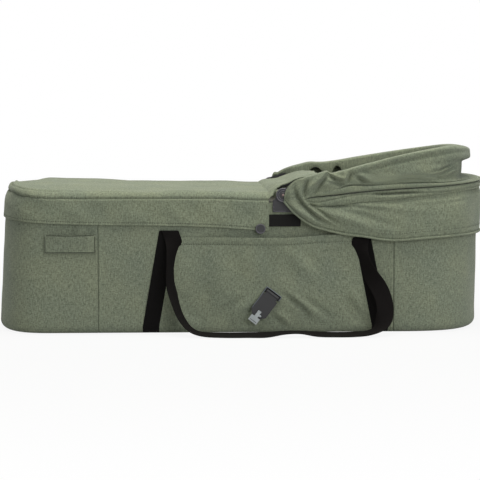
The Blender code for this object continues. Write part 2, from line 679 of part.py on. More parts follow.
def build_apron(cloth):
    """The apron: a skirt round the foot end and a padded top that crowns towards its middle."""
    open_stations = [APRON_END_X] + spread(APRON_END_X, TUB_FOOT_X + FOOT_END_DEPTH, 7)[1:-1]
    stations = end_path(-1, open_stations, FOOT_END_POWER)
    top_shares = (0.0, 0.035, 0.08, 0.16, 0.3, 0.55, 1.0)
    grids = []
    for cloth_depth in (0.0, APRON_CLOTH):
        columns = []
        for station in stations:
            column = []
            hem = apron_hem_z(station)
            for share in (0.0, 0.5):
                z = hem + (APRON_SEAM_Z - hem) * share
                out = SKIRT_HEM_OUT + (SKIRT_SEAM_OUT - SKIRT_HEM_OUT) * share - cloth_depth
                column.append(path_point(-1, station, -out, z))
            for share in top_shares:
                x = apron_point(station, 0.0, share, 0.0)[0]
                rise = apron_crown(x) * (1 - (1 - share) ** APRON_CROWN_POWER)
                column.append(apron_point(station, cloth_depth - SKIRT_SEAM_OUT, share,
                                          APRON_SEAM_Z - cloth_depth + rise))
            columns.append(column)
        grids.append(columns)
    skin("apron", grids[0], grids[1], cloth)


def build_wind_flap(cloth):
    """The flap that is sewn to the apron's open end and lies up against the folded hood."""
    start = APRON_END_X + CLEARANCE
    grids = []
    for depth in (0.0, APRON_CLOTH):
        columns = []
        for along in spread(0.0, 1.0, 6):
            narrowing = smooth(along * FLAP_NARROWING_share)
            half = TUB_HALF_WIDTH + (FLAP_END_HALF_WIDTH - TUB_HALF_WIDTH) * narrowing
            column = []
            for across in spread(-1.0, 1.0, 11):
                share = 1 - abs(across)
                crown = APRON_CROWN_END * (1 - (1 - share) ** APRON_CROWN_POWER) * (1 - smooth(along))
                rise = FLAP_RISE * math.sin(along * math.pi / 2)
                column.append((start + FLAP_LENGTH * along, half * across, APRON_SEAM_Z - depth + crown + rise))
            columns.append(column)
        grids.append(columns)
    rings = [outer + list(reversed(inner)) for outer, inner in zip(*grids)]
    loft("wind_flap", rings, cloth, paired=True)


def build_fastenings(black, hook):
    """Press studs, with their caps on the apron's skirt and their posts on the tub, and the hook strips."""
    skirt_out = SKIRT_HEM_OUT + CLEARANCE
    for label, side in (("left", -1), ("right", 1)):
        cap_base = side_y(side, TUB_HALF_WIDTH + skirt_out)
        cap_face = side_y(side, TUB_HALF_WIDTH + skirt_out + STUD_CAP)
        disc("stud_cap_" + label, STUD_X, STUD_Z, cap_base, cap_face, STUD_RADIUS, black,
             top_radius=STUD_RADIUS - STUD_CAP / 2)
        disc("stud_post_" + label, STUD_X, STUD_Z, side_y(side, LAYER), side_y(side, LAYER + STUD_POST),
             STUD_POST_RADIUS, black)
        start = APRON_END_X + CLEARANCE
        rings = []
        for x in (start, HOOK_STRIP_END_X):
            rings.append([(x, side_y(side, LAYER + y), HOOK_STRIP_BOTTOM + z)
                          for y, z in ((0.0, 0.0), (0.0, HOOK_STRIP_HEIGHT),
                                       (HOOK_STRIP_THICK, HOOK_STRIP_HEIGHT), (HOOK_STRIP_THICK, 0.0))])
        loft("hook_strip_" + label, rings, hook)


def hinge_layer(k):
    """Distances of the k-th hinge plate's two faces from the middle: bracket, middle leaf, front leaf."""
    inner = LAYER + k * (HINGE_PLATE + CLEARANCE)
    return inner, inner + HINGE_PLATE


def build_hinges(plastic, metal):
    """On each side a bracket, the leaves of both bows on it, and the rivet through them."""
    pivot_bore = RIVET_RADIUS + CLEARANCE
    waist = HINGE_RADIUS * HINGE_WAIST_share
    bracket = [(HINGE_RADIUS * math.cos(a), HINGE_RADIUS * math.sin(a))
               for a in spread(-BRACKET_TURN, math.pi + BRACKET_TURN, ROUND_SIDES * 2 // 3)]
    bracket += [(-BRACKET_HALF_WIDTH, -waist), (-BRACKET_HALF_WIDTH, -BRACKET_DEPTH), (0.0, -BRACKET_DEPTH),
                (BRACKET_HALF_WIDTH, -BRACKET_DEPTH), (BRACKET_HALF_WIDTH, -waist)]
    front_slope = math.atan2(FRONT_BOW_OFFSET, FRONT_LEAF_LENGTH)
    middle_slope = math.atan(MIDDLE_BOW_SLOPE)
    pieces = (("hinge_bracket_", bracket, 0),
              ("middle_leaf_", arm_outline(HINGE_RADIUS, MIDDLE_LEAF_LENGTH, LEAF_END_RADIUS, middle_slope), 1),
              ("front_leaf_", arm_outline(HINGE_RADIUS, FRONT_LEAF_LENGTH, LEAF_END_RADIUS, front_slope), 2))
    for label, side in (("left", -1), ("right", 1)):
        for stem, outline, layer in pieces:
            faces = [(side_y(side, distance), outline) for distance in hinge_layer(layer)]
            pivot = (HINGE_X, side_y(side, hinge_layer(layer)[0]), HINGE_Z)
            holed_prism(stem + label, faces, pivot_bore, lambda u, v, y: (HINGE_X + u, y, HINGE_Z + v),
                        plastic, pivot)
        inner = hinge_layer(0)[0]
        face = hinge_layer(2)[1] + CLEARANCE
        steps = ((inner, RIVET_RADIUS), (face, RIVET_RADIUS), (face, RIVET_HEAD_RADIUS),
                 (face + RIVET_HEAD / 2, RIVET_HEAD_RADIUS),
                 (face + RIVET_HEAD, RIVET_HEAD_RADIUS * RIVET_TIP_share))
        rings = [[(HINGE_X + r * math.cos(a), side_y(side, y), HINGE_Z + r * math.sin(a))
                  for a in (2 * math.pi * k / ROUND_SIDES for k in range(ROUND_SIDES))] for y, r in steps]
        loft("hinge_rivet_" + label, rings, metal)


def hood_stations(first_x, count):
    """Stations of a strip that runs from the left side round the head end to the right side."""
    last_x = TUB_HEAD_X - HEAD_END_DEPTH
    return end_path(1, spread(first_x, last_x, count)[:-1], HEAD_END_POWER)


def station_x(station):
    """The x of a station on the hood's outline."""
    return path_point(1, station, 0.0, TUB_HEIGHT)[0]


def hood_out(station):
    """How far the hood cloth's inner face stands outside the tub's outline."""
    x = station_x(station)
    corner = 1 - smooth((x - HOOD_TIP_X - HOOD_CORNER_LENGTH / 2) / HOOD_CORNER_LENGTH)
    head = smooth(station[1])
    return (HOOD_OUT_SIDE + (HOOD_OUT_CORNER - HOOD_OUT_SIDE) * corner
            + (HOOD_OUT_HEAD - HOOD_OUT_SIDE) * head)


def hood_hem_z(x):
    """Height of the hood skirt's hem: it sweeps down from the tip and then runs level to the head."""
    share = min(1.0, (x - HOOD_TIP_X) / (HOOD_HEM_X - HOOD_TIP_X))
    sweep = HOOD_HEM_Z + (HOOD_TIP_HEM_Z - HOOD_HEM_Z) * (1 - share) ** HOOD_HEM_POWER
    return sweep + (HOOD_HEM_HEAD_Z - HOOD_HEM_Z) * smooth((x - HOOD_HEM_X) / (TUB_HEAD_X - HOOD_HEM_X))


def middle_bow_z(x):
    """Height of the middle bow, whose plane runs through the hinge axis."""
    return HINGE_Z + MIDDLE_BOW_SLOPE * (x - HINGE_X)


def front_bow_z(x):
    """Height of the front bow, whose plane runs above the hinge axis."""
    return HINGE_Z + FRONT_BOW_OFFSET + FRONT_BOW_SLOPE * (x - HINGE_X)


def skirt_top_z(x):
    """Height of the top fold of the hood skirt, which lies just under the middle bow."""
    straight = middle_bow_z(x) - BOW_RADIUS - HOOD_SKIRT_GAP
    tip = smooth((x - HOOD_TIP_X) / (HOOD_CORNER_LENGTH / 3))
    return HOOD_TIP_TOP_Z + (straight - HOOD_TIP_TOP_Z) * tip


def skirt_fold(x, z):
    """Folds that fan out from the gathered corner and fade towards the head."""
    reach = math.hypot(x - HOOD_CLOTH_START_X, z - skirt_top_z(x)) / SKIRT_FOLD_REACH
    angle = math.atan2(skirt_top_z(x) - z, x - HINGE_X)
    return SKIRT_FOLD_DEPTH * math.exp(-reach * reach) * math.cos(SKIRT_FOLDS * angle) ** 2


def build_hood_skirt(cloth):
    """The part of the hood that hangs over the rim of the tub, with its top folded inward."""
    shares = (0.0, 0.3, 0.58, 0.78, 0.86, 0.95, 1.0)
    swell_shares = (0.0, 0.35, 0.6, 0.6, 0.1, 0.9, 0.5)
    rings = []
    for station in hood_stations(HOOD_TIP_X, 13):
        x = station_x(station)
        low, high = hood_hem_z(x), skirt_top_z(x)
        fold = HOOD_FOLD * smooth((x - HOOD_CLOTH_START_X) / HOOD_CORNER_LENGTH * 2)
        outer, inner = [], []
        for share, swell in zip(shares, swell_shares):
            z = low + (high - low) * share
            out = hood_out(station) + SKIRT_FOLD_DEPTH * swell * (1 - smooth(station[1]) / 2) + skirt_fold(x, z)
            outer.append(path_point(1, station, -out - HOOD_CLOTH, z))
            inner.append(path_point(1, station, -out, min(z, high - HOOD_CLOTH)))
        out = hood_out(station)
        outer.append(path_point(1, station, fold - out, high - CLEARANCE))
        inner.append(path_point(1, station, fold - out, high - HOOD_CLOTH))
        rings.append(outer + list(reversed(inner)))
    loft("hood_skirt", rings, cloth, paired=True)


def tube_along(name, points, radius, material, pivot):
    """A round tube through a row of points, with its rings square to the run."""
    rings = []
    for k, point in enumerate(points):
        run = (points[min(k + 1, len(points) - 1)] - points[max(k - 1, 0)]).normalized()
        across = run.cross(Vector((0, 0, 1))).normalized()
        above = across.cross(run)
        rings.append([point + radius * (across * math.cos(a) + above * math.sin(a))
                      for a in (2 * math.pi * i / TUBE_SIDES for i in range(TUBE_SIDES))])
    return loft(name, rings, material, pivot=pivot)


def head_pull(pull, station):
    """How far a bow and its cloth lie inside the outline: nothing along the sides, all of it at the head."""
    return pull * smooth(station[1]) ** FRONT_PULL_POWER


def build_bow(name, z_at, leaf_length, leaf_layer, slope, pull, material):
    """One bow, from the tip of its left leaf round the head end to the tip of its right leaf."""
    tip_x = HINGE_X + (leaf_length + LEAF_END_RADIUS) * math.cos(slope) + BOW_RADIUS * math.sin(slope) + CLEARANCE
    leaf_out = sum(hinge_layer(leaf_layer)) / 2 - TUB_HALF_WIDTH
    points = []
    for station in hood_stations(tip_x, 9):
        x = station_x(station)
        merge = smooth((x - tip_x) / BOW_MERGE)
        inset = -leaf_out + (BOW_INSET + leaf_out) * merge + head_pull(pull, station)
        z = HINGE_Z + (x - HINGE_X) * math.tan(slope)
        z += (z_at(x) - z) * merge
        points.append(Vector(path_point(1, station, inset, z)))
    return tube_along(name, points, BOW_RADIUS, material, (HINGE_X, 0.0, HINGE_Z))


def build_hood_roll(cloth):
    """The back panel of the hood, folded into a roll round the middle bow's outside."""
    ring_count = 10
    rings = []
    for station in hood_stations(HOOD_CLOTH_START_X, 8):
        x = station_x(station)
        low = skirt_top_z(x) + HOOD_LAYER_GAP
        middle = low + HOOD_ROLL_HEIGHT / 2
        out = hood_out(station) - BOW_INSET / 2 + HOOD_ROLL_WIDTH / 4
        ring = []
        for k in range(ring_count):
            angle = 2 * math.pi * k / ring_count
            pinch = 1 - HOOD_ROLL_PINCH_share * math.cos(angle) ** 6
            ring.append(path_point(1, station, -out - HOOD_ROLL_WIDTH / 2 * math.cos(angle) * pinch,
                                   middle + HOOD_ROLL_HEIGHT / 2 * math.sin(angle)))
        rings.append(ring)
    loft("hood_back_panel", rings, cloth, pivot=(HINGE_X, 0.0, HINGE_Z))


def build_hood_front(cloth):
    """The front panel of the hood: it hangs from the front bow and is tucked in at its bottom."""
    shares = (0.0, 0.04, 0.3, 0.6, 0.86, 1.0)
    out_shares = (-0.6, 0.5, 0.9, 0.75, 0.4, 0.0)
    rings = []
    for station in hood_stations(HOOD_CLOTH_START_X, 8):
        x = station_x(station)
        low = skirt_top_z(x) + 2 * HOOD_LAYER_GAP + HOOD_ROLL_HEIGHT
        high = HINGE_Z + FRONT_BAND_TOP + FRONT_BOW_SLOPE * (x - HINGE_X)
        base = hood_out(station) - head_pull(FRONT_HEAD_PULL, station)
        outer, inner = [], []
        for share, out_share in zip(shares, out_shares):
            z = low + (high - low) * share
            out = base + BOW_RADIUS * out_share
            outer.append(path_point(1, station, -out - HOOD_CLOTH, z))
            inner.append(path_point(1, station, -out, min(max(z, low + HOOD_CLOTH), high - HOOD_CLOTH)))
        out = base
        outer.append(path_point(1, station, FRONT_BAND_RETURN - out, high - CLEARANCE))
        inner.append(path_point(1, station, FRONT_BAND_RETURN - out, high - HOOD_CLOTH))
        rings.append(outer + list(reversed(inner)))
    loft("hood_front_panel", rings, cloth, paired=True, pivot=(HINGE_X, 0.0, HINGE_Z))


def build_hood(cloth, tube):
    """Skirt, rolled back panel, front panel and both bows."""
    build_hood_skirt(cloth)
    build_hood_roll(cloth)
    build_hood_front(cloth)
    build_bow("middle_bow", middle_bow_z, MIDDLE_LEAF_LENGTH, 1, math.atan(MIDDLE_BOW_SLOPE), 0.0, tube)
    build_bow("front_bow", front_bow_z, FRONT_LEAF_LENGTH, 2,
              math.atan2(FRONT_BOW_OFFSET, FRONT_LEAF_LENGTH), FRONT_HEAD_PULL, tube)


def smooth_route(points, steps):
    """Reads a smooth curve through a row of points."""
    route = []
    for k in range(len(points) - 1):
        p0, p1 = points[max(k - 1, 0)], points[k]
        p2, p3 = points[k + 1], points[min(k + 2, len(points) - 1)]
        for i in range(steps):
            t = i / steps
            route.append(0.5 * (2 * p1 + (p2 - p0) * t + (2 * p0 - 5 * p1 + 4 * p2 - p3) * t * t
                                + (3 * p1 - p0 - 3 * p2 + p3) * t * t * t))
    return route + [points[-1]]


# Shares of the span between the handle's two ends, of its reach from the side and of its height, and its turn:
# 0 turns its flat face outward, 1 turns it up
HANDLE_ROUTE_shares = (
    (0.000, 0.00, 1.000, 0.0), (0.024, 0.10, 0.850, 0.0), (0.008, 0.26, 0.620, 0.1), (0.010, 0.40, 0.430, 0.3),
    (0.050, 0.58, 0.240, 0.6), (0.100, 0.78, 0.090, 0.9), (0.170, 0.95, 0.010, 1.0), (0.300, 1.00, 0.000, 1.0),
    (0.450, 1.02, 0.002, 1.0), (0.560, 1.00, 0.012, 1.0), (0.680, 0.97, 0.008, 1.0), (0.820, 0.98, 0.000, 1.0),
    (0.960, 0.95, 0.004, 1.0), (1.040, 0.85, 0.060, 0.7), (1.085, 0.66, 0.180, 0.3), (1.085, 0.50, 0.320, 0.1),
    (1.055, 0.36, 0.500, 0.0), (1.020, 0.22, 0.720, 0.0), (0.996, 0.10, 0.880, 0.0), (0.990, 0.00, 1.000, 0.0),
)


def build_handles(webbing):
    """A loose webbing handle on each side, hanging from its two sewn ends down to the ground."""
    foot_x = strap_edge(FOOT_STRAP_LOW_X, FOOT_STRAP_HIGH_X, FOOT_STRAP_TOP, HANDLE_PIVOT_Z, 0)
    head_x = strap_edge(HEAD_STRAP_LOW_X, HEAD_STRAP_HIGH_X, HEAD_STRAP_TOP, HANDLE_PIVOT_Z, 0)
    pivot_y = LAYER + WEB * 1.5 + WEB_FOLD_GAP
    for label, side in (("left", -1), ("right", 1)):
        points, turns = [], []
        for along, reach, height, turn in HANDLE_ROUTE_shares:
            points.append(Vector((foot_x + (head_x - foot_x) * along, side_y(side, pivot_y + HANDLE_REACH * reach),
                                  WEB / 2 + (HANDLE_PIVOT_Z - WEB / 2) * height)))
            turns.append(Vector((turn, 0.0, 0.0)))
        route = smooth_route(points, 2)
        route_turns = [turn.x for turn in smooth_route(turns, 2)]
        rings = []
        for k, point in enumerate(route):
            run = (route[min(k + 1, len(route) - 1)] - route[max(k - 1, 0)]).normalized()
            if k in (0, len(route) - 1):
                run = Vector((0, 0, -1 if k == 0 else 1))
            turn = min(1.0, max(0.0, route_turns[k]))
            upright = 1 if k < len(route) / 2 else -1
            across = Vector((upright * math.cos(turn * math.pi / 2), side * math.sin(turn * math.pi / 2), 0.0))
            across = (across - run * across.dot(run)).normalized()
            face = run.cross(across).normalized()
            half, thick = across * HANDLE_WIDTH / 2, face * WEB / 2
            ring = [point - half - thick, point + half - thick, point + half + thick, point - half + thick]
            rings.append([(p.x, p.y, max(p.z, 0.0)) for p in ring])
        loft("handle_" + label, rings, webbing, pivot=(0.0, side_y(side, pivot_y), HANDLE_PIVOT_Z))


def adaptor_place(side, bar_y):
    """Turns a place on the adaptor into a point: across it, down its length and out from the side."""
    across = Vector((math.cos(ADAPTOR_TILT), 0.0, -math.sin(ADAPTOR_TILT)))
    down = Vector((-math.sin(ADAPTOR_TILT), 0.0, -math.cos(ADAPTOR_TILT)))
    centre = Vector((ADAPTOR_X, side_y(side, bar_y), ADAPTOR_Z))

    def place(w, length, out):
        return centre + across * w + down * length + Vector((0.0, side_y(side, out), 0.0))

    return place


def block(name, place, w, length, out, material, pivot=None):
    """A rectangular block between the limits of w, length and out."""
    rings = [[place(a, b, c) for a, b in ((w[0], length[0]), (w[1], length[0]), (w[1], length[1]), (w[0], length[1]))]
             for c in out]
    return loft(name, rings, material, pivot=pivot)


def build_adaptors(plastic, dark, grey, pockets):
    """On each side a socket plate with a bar, the hook plate that swings on it, and its release key."""
    cloth_face = LAYER + pocket_bulge(ADAPTOR_X, ADAPTOR_Z + SLOT_MARGIN * 3) + POCKET_CLOTH
    bar_y = cloth_face + CLEARANCE * 2 + ADAPTOR_THICK / 2
    plate_in, plate_out = -ADAPTOR_THICK / 2, ADAPTOR_THICK / 2
    bore = ADAPTOR_BAR_RADIUS + CLEARANCE
    ear_gap = CLEARANCE
    ear_inner = ADAPTOR_KNUCKLE_WIDTH / 2 + ear_gap
    for label, side in (("left", -1), ("right", 1)):
        place = adaptor_place(side, bar_y)
        back = LAYER - bar_y
        half = ADAPTOR_WIDTH / 2
        socket = block("adaptor_socket_" + label, place, (-half, half), (-SOCKET_HEIGHT / 3, SOCKET_HEIGHT * 2 / 3),
                       (back, back + SOCKET_PLATE), plastic)
        for k, away in enumerate((-1, 1)):
            limits = sorted((away * ear_inner, away * (ear_inner + SOCKET_EAR)))
            ear = block("ear_tool_%s_%d" % (label, k), place, limits, (-SOCKET_EAR_HEIGHT / 2, SOCKET_EAR_HEIGHT / 2),
                        (back + SOCKET_PLATE / 2, ADAPTOR_KNUCKLE_RADIUS), plastic)
            cut(socket, ear, "UNION")
        bar_rings = [[place(w, ADAPTOR_BAR_RADIUS * math.cos(a), ADAPTOR_BAR_RADIUS * math.sin(a))
                      for a in (2 * math.pi * k / TUBE_SIDES for k in range(TUBE_SIDES))]
                     for w in (-ear_inner - SOCKET_EAR / 2, ear_inner + SOCKET_EAR / 2)]
        cut(socket, loft("bar_tool_" + label, bar_rings, plastic), "UNION")

        slot_half = ear_inner + SOCKET_EAR + SLOT_MARGIN / 2
        slot_up = SOCKET_EAR_HEIGHT / 2 + SLOT_MARGIN
        slot = block("slot_tool_" + label, place, (-slot_half, slot_half), (-slot_up, slot_up),
                     (-ADAPTOR_WIDTH / 2, ADAPTOR_WIDTH / 2), plastic)
        cut(pockets[label], slot)
        build_hook_plate(label, place, plate_in, plate_out, bore, half, dark)
        build_key(label, place, plate_out, grey)


def build_hook_plate(label, place, plate_in, plate_out, bore, half, material):
    """The hook plate: a knuckle round the bar, a flat blade and two cut corners at its free end."""
    knuckle = ADAPTOR_KNUCKLE_RADIUS
    arc = [(knuckle * math.cos(a), knuckle * math.sin(a))
           for a in spread(ADAPTOR_KNUCKLE_GAP, 2 * math.pi - ADAPTOR_KNUCKLE_GAP, ROUND_SIDES * 2 // 3)]

    def outline(length):
        return arc + [(length, plate_in), (length, 0.0), (length, plate_out)]

    blade = (ADAPTOR_NECK, ADAPTOR_LENGTH)
    pin_half = ADAPTOR_KNUCKLE_WIDTH / 2
    body = holed_prism("adaptor_plate_" + label, [(-pin_half, outline(ADAPTOR_NECK + ADAPTOR_CHAMFER)),
                                                  (pin_half, outline(ADAPTOR_NECK + ADAPTOR_CHAMFER))],
                       bore, lambda u, v, w: place(w, u, v), material, tuple(place(0.0, 0.0, 0.0)))
    shape = [(-half, blade[0]), (half, blade[0]), (half, blade[1] - ADAPTOR_CHAMFER),
             (half - ADAPTOR_CHAMFER, blade[1]), (-half + ADAPTOR_CHAMFER, blade[1]),
             (-half, blade[1] - ADAPTOR_CHAMFER)]
    rings = [[place(w, length, out) for w, length in shape] for out in (plate_in, plate_out)]
    cut(body, loft("blade_tool_" + label, rings, material), "UNION")


def build_key(label, place, plate_out, material):
    """The light key that slides on the hook plate and stands out past its free end."""
    low = plate_out + CLEARANCE
    head, stem = KEY_HEAD_WIDTH / 2, KEY_STEM_WIDTH / 2
    start = ADAPTOR_LENGTH + CLEARANCE * 2
    outline = [(-head, start), (-stem, start), (-stem, start - KEY_STEM_LENGTH), (stem, start - KEY_STEM_LENGTH),
               (stem, start), (head, start), (head, start + KEY_HEAD_LENGTH), (-head, start + KEY_HEAD_LENGTH)]
    rings = [[place(w, length, out) for w, length in outline] for out in (low, low + KEY_THICK)]
    loft("release_key_" + label, rings, material, pivot=tuple(place(0.0, start, low)))


def clear_scene():
    for existing in list(bpy.data.objects):
        bpy.data.objects.remove(existing, do_unlink=True)


def main():
    clear_scene()
    green = make_material("green_cloth", (0.165, 0.178, 0.130), 0.9)
    light_green = make_material("apron_cloth", (0.185, 0.200, 0.148), 0.9)
    hood_green = make_material("hood_cloth", (0.160, 0.175, 0.125), 0.9)
    webbing = make_material("webbing", (0.011, 0.010, 0.009), 0.85)
    hook = make_material("hook_tape", (0.006, 0.006, 0.005), 0.95)
    black = make_material("black_plastic", (0.03, 0.03, 0.03), 0.4)
    dark = make_material("dark_plastic", (0.041, 0.041, 0.042), 0.5)
    grey = make_material("grey_plastic", (0.40, 0.43, 0.43), 0.45)
    board = make_material("board", (0.09, 0.08, 0.07), 0.8)
    tube = make_material("tube", (0.08, 0.08, 0.085), 0.4, 0.8)
    rivet = make_material("rivet_metal", (0.45, 0.44, 0.43), 0.3, 1.0)
    pad = make_material("lining_cloth", (0.42, 0.42, 0.40), 0.9)

    walls, floor = build_tub(green, board, tube, pad)
    build_straps(webbing, walls, floor)
    pockets = build_side_pockets(green)
    build_tab_pockets(green)
    build_apron(light_green)
    build_wind_flap(light_green)
    build_fastenings(black, hook)
    build_hinges(black, rivet)
    build_hood(hood_green, tube)
    build_handles(webbing)
    build_adaptors(black, dark, grey, pockets)
    for made in bpy.context.scene.objects:
        if made.type == "MESH":
            made.data.shade_smooth()
            made.data.set_sharp_from_angle(angle=math.radians(35))


main()
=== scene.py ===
# %% [markdown]
# A soft carrycot for a pushchair, dressed over its CAD model. This lesson goes piece by piece:
# the fixed frame first, then the camera and light, then one cell for each piece of cloth, webbing
# and plastic. Every length on the object is in millimetres, and a piece is turned into metres
# only when its mesh is made, so the numbers read like the ones on a cutting pattern. Only the
# camera, the lamps and the floor are placed in metres.

# %% Load the frame
import math

import bmesh
import bpy
import numpy as np
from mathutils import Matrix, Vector


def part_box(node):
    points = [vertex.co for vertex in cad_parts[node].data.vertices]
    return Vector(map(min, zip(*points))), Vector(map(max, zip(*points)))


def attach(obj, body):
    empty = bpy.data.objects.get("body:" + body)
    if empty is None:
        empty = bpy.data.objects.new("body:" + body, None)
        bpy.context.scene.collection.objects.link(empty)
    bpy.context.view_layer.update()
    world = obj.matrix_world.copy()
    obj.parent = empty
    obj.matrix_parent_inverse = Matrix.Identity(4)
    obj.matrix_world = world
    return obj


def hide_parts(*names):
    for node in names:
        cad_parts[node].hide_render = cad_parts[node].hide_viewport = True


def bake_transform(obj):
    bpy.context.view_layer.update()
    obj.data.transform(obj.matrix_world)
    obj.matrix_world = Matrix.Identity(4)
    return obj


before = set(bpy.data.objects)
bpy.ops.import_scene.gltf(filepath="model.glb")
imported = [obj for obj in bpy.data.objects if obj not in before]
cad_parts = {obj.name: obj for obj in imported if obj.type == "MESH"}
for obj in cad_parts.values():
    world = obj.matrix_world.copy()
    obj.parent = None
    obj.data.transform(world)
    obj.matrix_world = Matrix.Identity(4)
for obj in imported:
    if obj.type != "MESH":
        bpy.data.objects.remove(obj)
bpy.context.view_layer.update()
MM = 0.001

# %% [markdown]
# The tub is a box of cloth with straight sides and rounded ends. Seen from above its outline is
# two straight lines joined by two half superellipses, blunter than half circles. A maker
# measures such a thing along its edge with a tape, so this cell makes a tape: a run of 0 is the
# middle of the foot end, it grows along the near side to the middle of the head end, and goes on
# along the far side until it is back at the foot.

# %% The tub's outline and its tape
HALF_WIDTH, RIM_Z = 186.0, 220.5
FOOT_START, FOOT_DEPTH, FOOT_LEAN, FOOT_POWER = -315.0, 105.0, -9.0, 2.9
HEAD_START, HEAD_DEPTH, HEAD_LEAN, HEAD_POWER = 261.0, 150.0, 3.0, 2.8
FOOT_SEAM_X, HEAD_SEAM_X = -244.0, 250.5


def end_shares(power):
    """Depth and width shares of an end, from its side to its middle: cosine and sine of the
    angle, each to the power of two over the superellipse's power."""
    angle = np.linspace(np.pi / 2, 0.0, 500)
    return np.clip(np.cos(angle), 0, 1) ** (2 / power), np.clip(np.sin(angle), 0, 1) ** (2 / power)


foot_depth, foot_width = end_shares(FOOT_POWER)
head_depth, head_width = end_shares(HEAD_POWER)
nothing = np.zeros_like(foot_depth)
TAPE = np.concatenate([
    np.stack([nothing + FOOT_START, foot_depth, nothing, foot_width])[:, ::-1],
    np.stack([nothing + HEAD_START, nothing, head_depth, head_width])], axis=1)
TAPE_X = TAPE[0] - FOOT_DEPTH * TAPE[1] + HEAD_DEPTH * TAPE[2]
TAPE_RUN = np.concatenate([[0.0], np.cumsum(np.hypot(np.diff(TAPE_X), np.diff(HALF_WIDTH * TAPE[3])))])
HALF_TAPE = TAPE_RUN[-1]


def run_at(x):
    """The tape's reading on the near side at a distance x along the tub."""
    return np.interp(x, TAPE_X, TAPE_RUN)


def wrap(run):
    """A reading of the tape brought between minus and plus half its length; the near side is above 0."""
    return np.mod(np.asarray(run, float) + HALF_TAPE, 2 * HALF_TAPE) - HALF_TAPE


def shares_at(run):
    """The tape's straight x, foot share, head share, width share and side (-1 near, 1 far)."""
    wrapped = wrap(run)
    side = np.where(wrapped >= 0, -1.0, 1.0)
    parts = [np.interp(np.abs(wrapped), TAPE_RUN, row) for row in TAPE]
    return (*parts, side)


def around(run, z, out=0.0):
    """A point on the wall: the tape gives the place on the outline, z the height, and out how far
    the point stands outside the outline. The ends lean a little with the height."""
    x0, foot, head, width, side = shares_at(run)
    lean = np.asarray(z, float) / RIM_Z
    x = x0 - (FOOT_DEPTH + FOOT_LEAN * lean + out) * foot + (HEAD_DEPTH + HEAD_LEAN * lean + out) * head
    y = side * (HALF_WIDTH + out) * width
    return np.stack(np.broadcast_arrays(x, y, z), axis=-1).astype(float)


def along_x(run):
    """The x of a place on the tape, on either side."""
    return np.interp(np.abs(wrap(run)), TAPE_RUN, TAPE_X)


print("tape from foot to head: %.1f mm" % HALF_TAPE)

# %% [markdown]
# The photograph was taken from the side with a long lens, a little above the rim and a few
# degrees towards the foot. A long lens from three metres keeps the far side nearly as large as
# the near one.

# %% Camera
CAMERA_DISTANCE, CAMERA_HEIGHT = 3.06, 0.40
CAMERA_PITCH, CAMERA_AZIMUTH = math.radians(4.8435), math.radians(-2.3)
FOCAL_SHARE = 1729 / 480

camera_data = bpy.data.cameras.new("camera")
camera_data.sensor_width = 36
camera_data.lens = 36 * FOCAL_SHARE
camera = bpy.data.objects.new("camera", camera_data)
camera.location = (math.sin(CAMERA_AZIMUTH) * CAMERA_DISTANCE,
                   -math.cos(CAMERA_AZIMUTH) * CAMERA_DISTANCE, CAMERA_HEIGHT)
sight = Vector((-math.sin(CAMERA_AZIMUTH) * math.cos(CAMERA_PITCH),
                math.cos(CAMERA_AZIMUTH) * math.cos(CAMERA_PITCH), -math.sin(CAMERA_PITCH)))
camera.rotation_mode = "QUATERNION"
camera.rotation_quaternion = sight.to_track_quat("-Z", "Y")
bpy.context.scene.collection.objects.link(camera)
bpy.context.scene.camera = camera
print("lens %.1f mm" % camera_data.lens)

# %% [markdown]
# The picture was lit softly from above and from the foot side, and the object was cut out on
# white. Here a pale floor keeps the object's shadow. It is white because part of its shader is a
# plain white glow that only the camera, reflections and glass see, so no extra light reaches the
# cloth. The world does the same: soft grey light for the object, white for the camera.

# %% Floor, world and lamps
scene = bpy.context.scene
scene.view_settings.view_transform = "Standard"


def seen_directly(nodes, links):
    """A mask that is 1 for camera, glossy and transmission rays."""
    path = nodes.new("ShaderNodeLightPath")
    first = nodes.new("ShaderNodeMath")
    first.operation = "MAXIMUM"
    second = nodes.new("ShaderNodeMath")
    second.operation = "MAXIMUM"
    links.new(path.outputs["Is Camera Ray"], first.inputs[0])
    links.new(path.outputs["Is Glossy Ray"], first.inputs[1])
    links.new(first.outputs[0], second.inputs[0])
    links.new(path.outputs["Is Transmission Ray"], second.inputs[1])
    return second.outputs[0]


def make_world(strength):
    """Soft light of a given strength for the object and plain white for the camera."""
    world = bpy.data.worlds.new("studio")
    world.use_nodes = True
    nodes, links = world.node_tree.nodes, world.node_tree.links
    light = nodes["Background"]
    light.inputs["Color"].default_value = (0.96, 0.98, 1.0, 1)
    light.inputs["Strength"].default_value = strength
    white = nodes.new("ShaderNodeBackground")
    white.inputs["Color"].default_value = (1, 1, 1, 1)
    white.inputs["Strength"].default_value = 1.0
    mix = nodes.new("ShaderNodeMixShader")
    links.new(seen_directly(nodes, links), mix.inputs[0])
    links.new(light.outputs[0], mix.inputs[1])
    links.new(white.outputs[0], mix.inputs[2])
    links.new(mix.outputs[0], nodes["World Output"].inputs["Surface"])
    scene.world = world


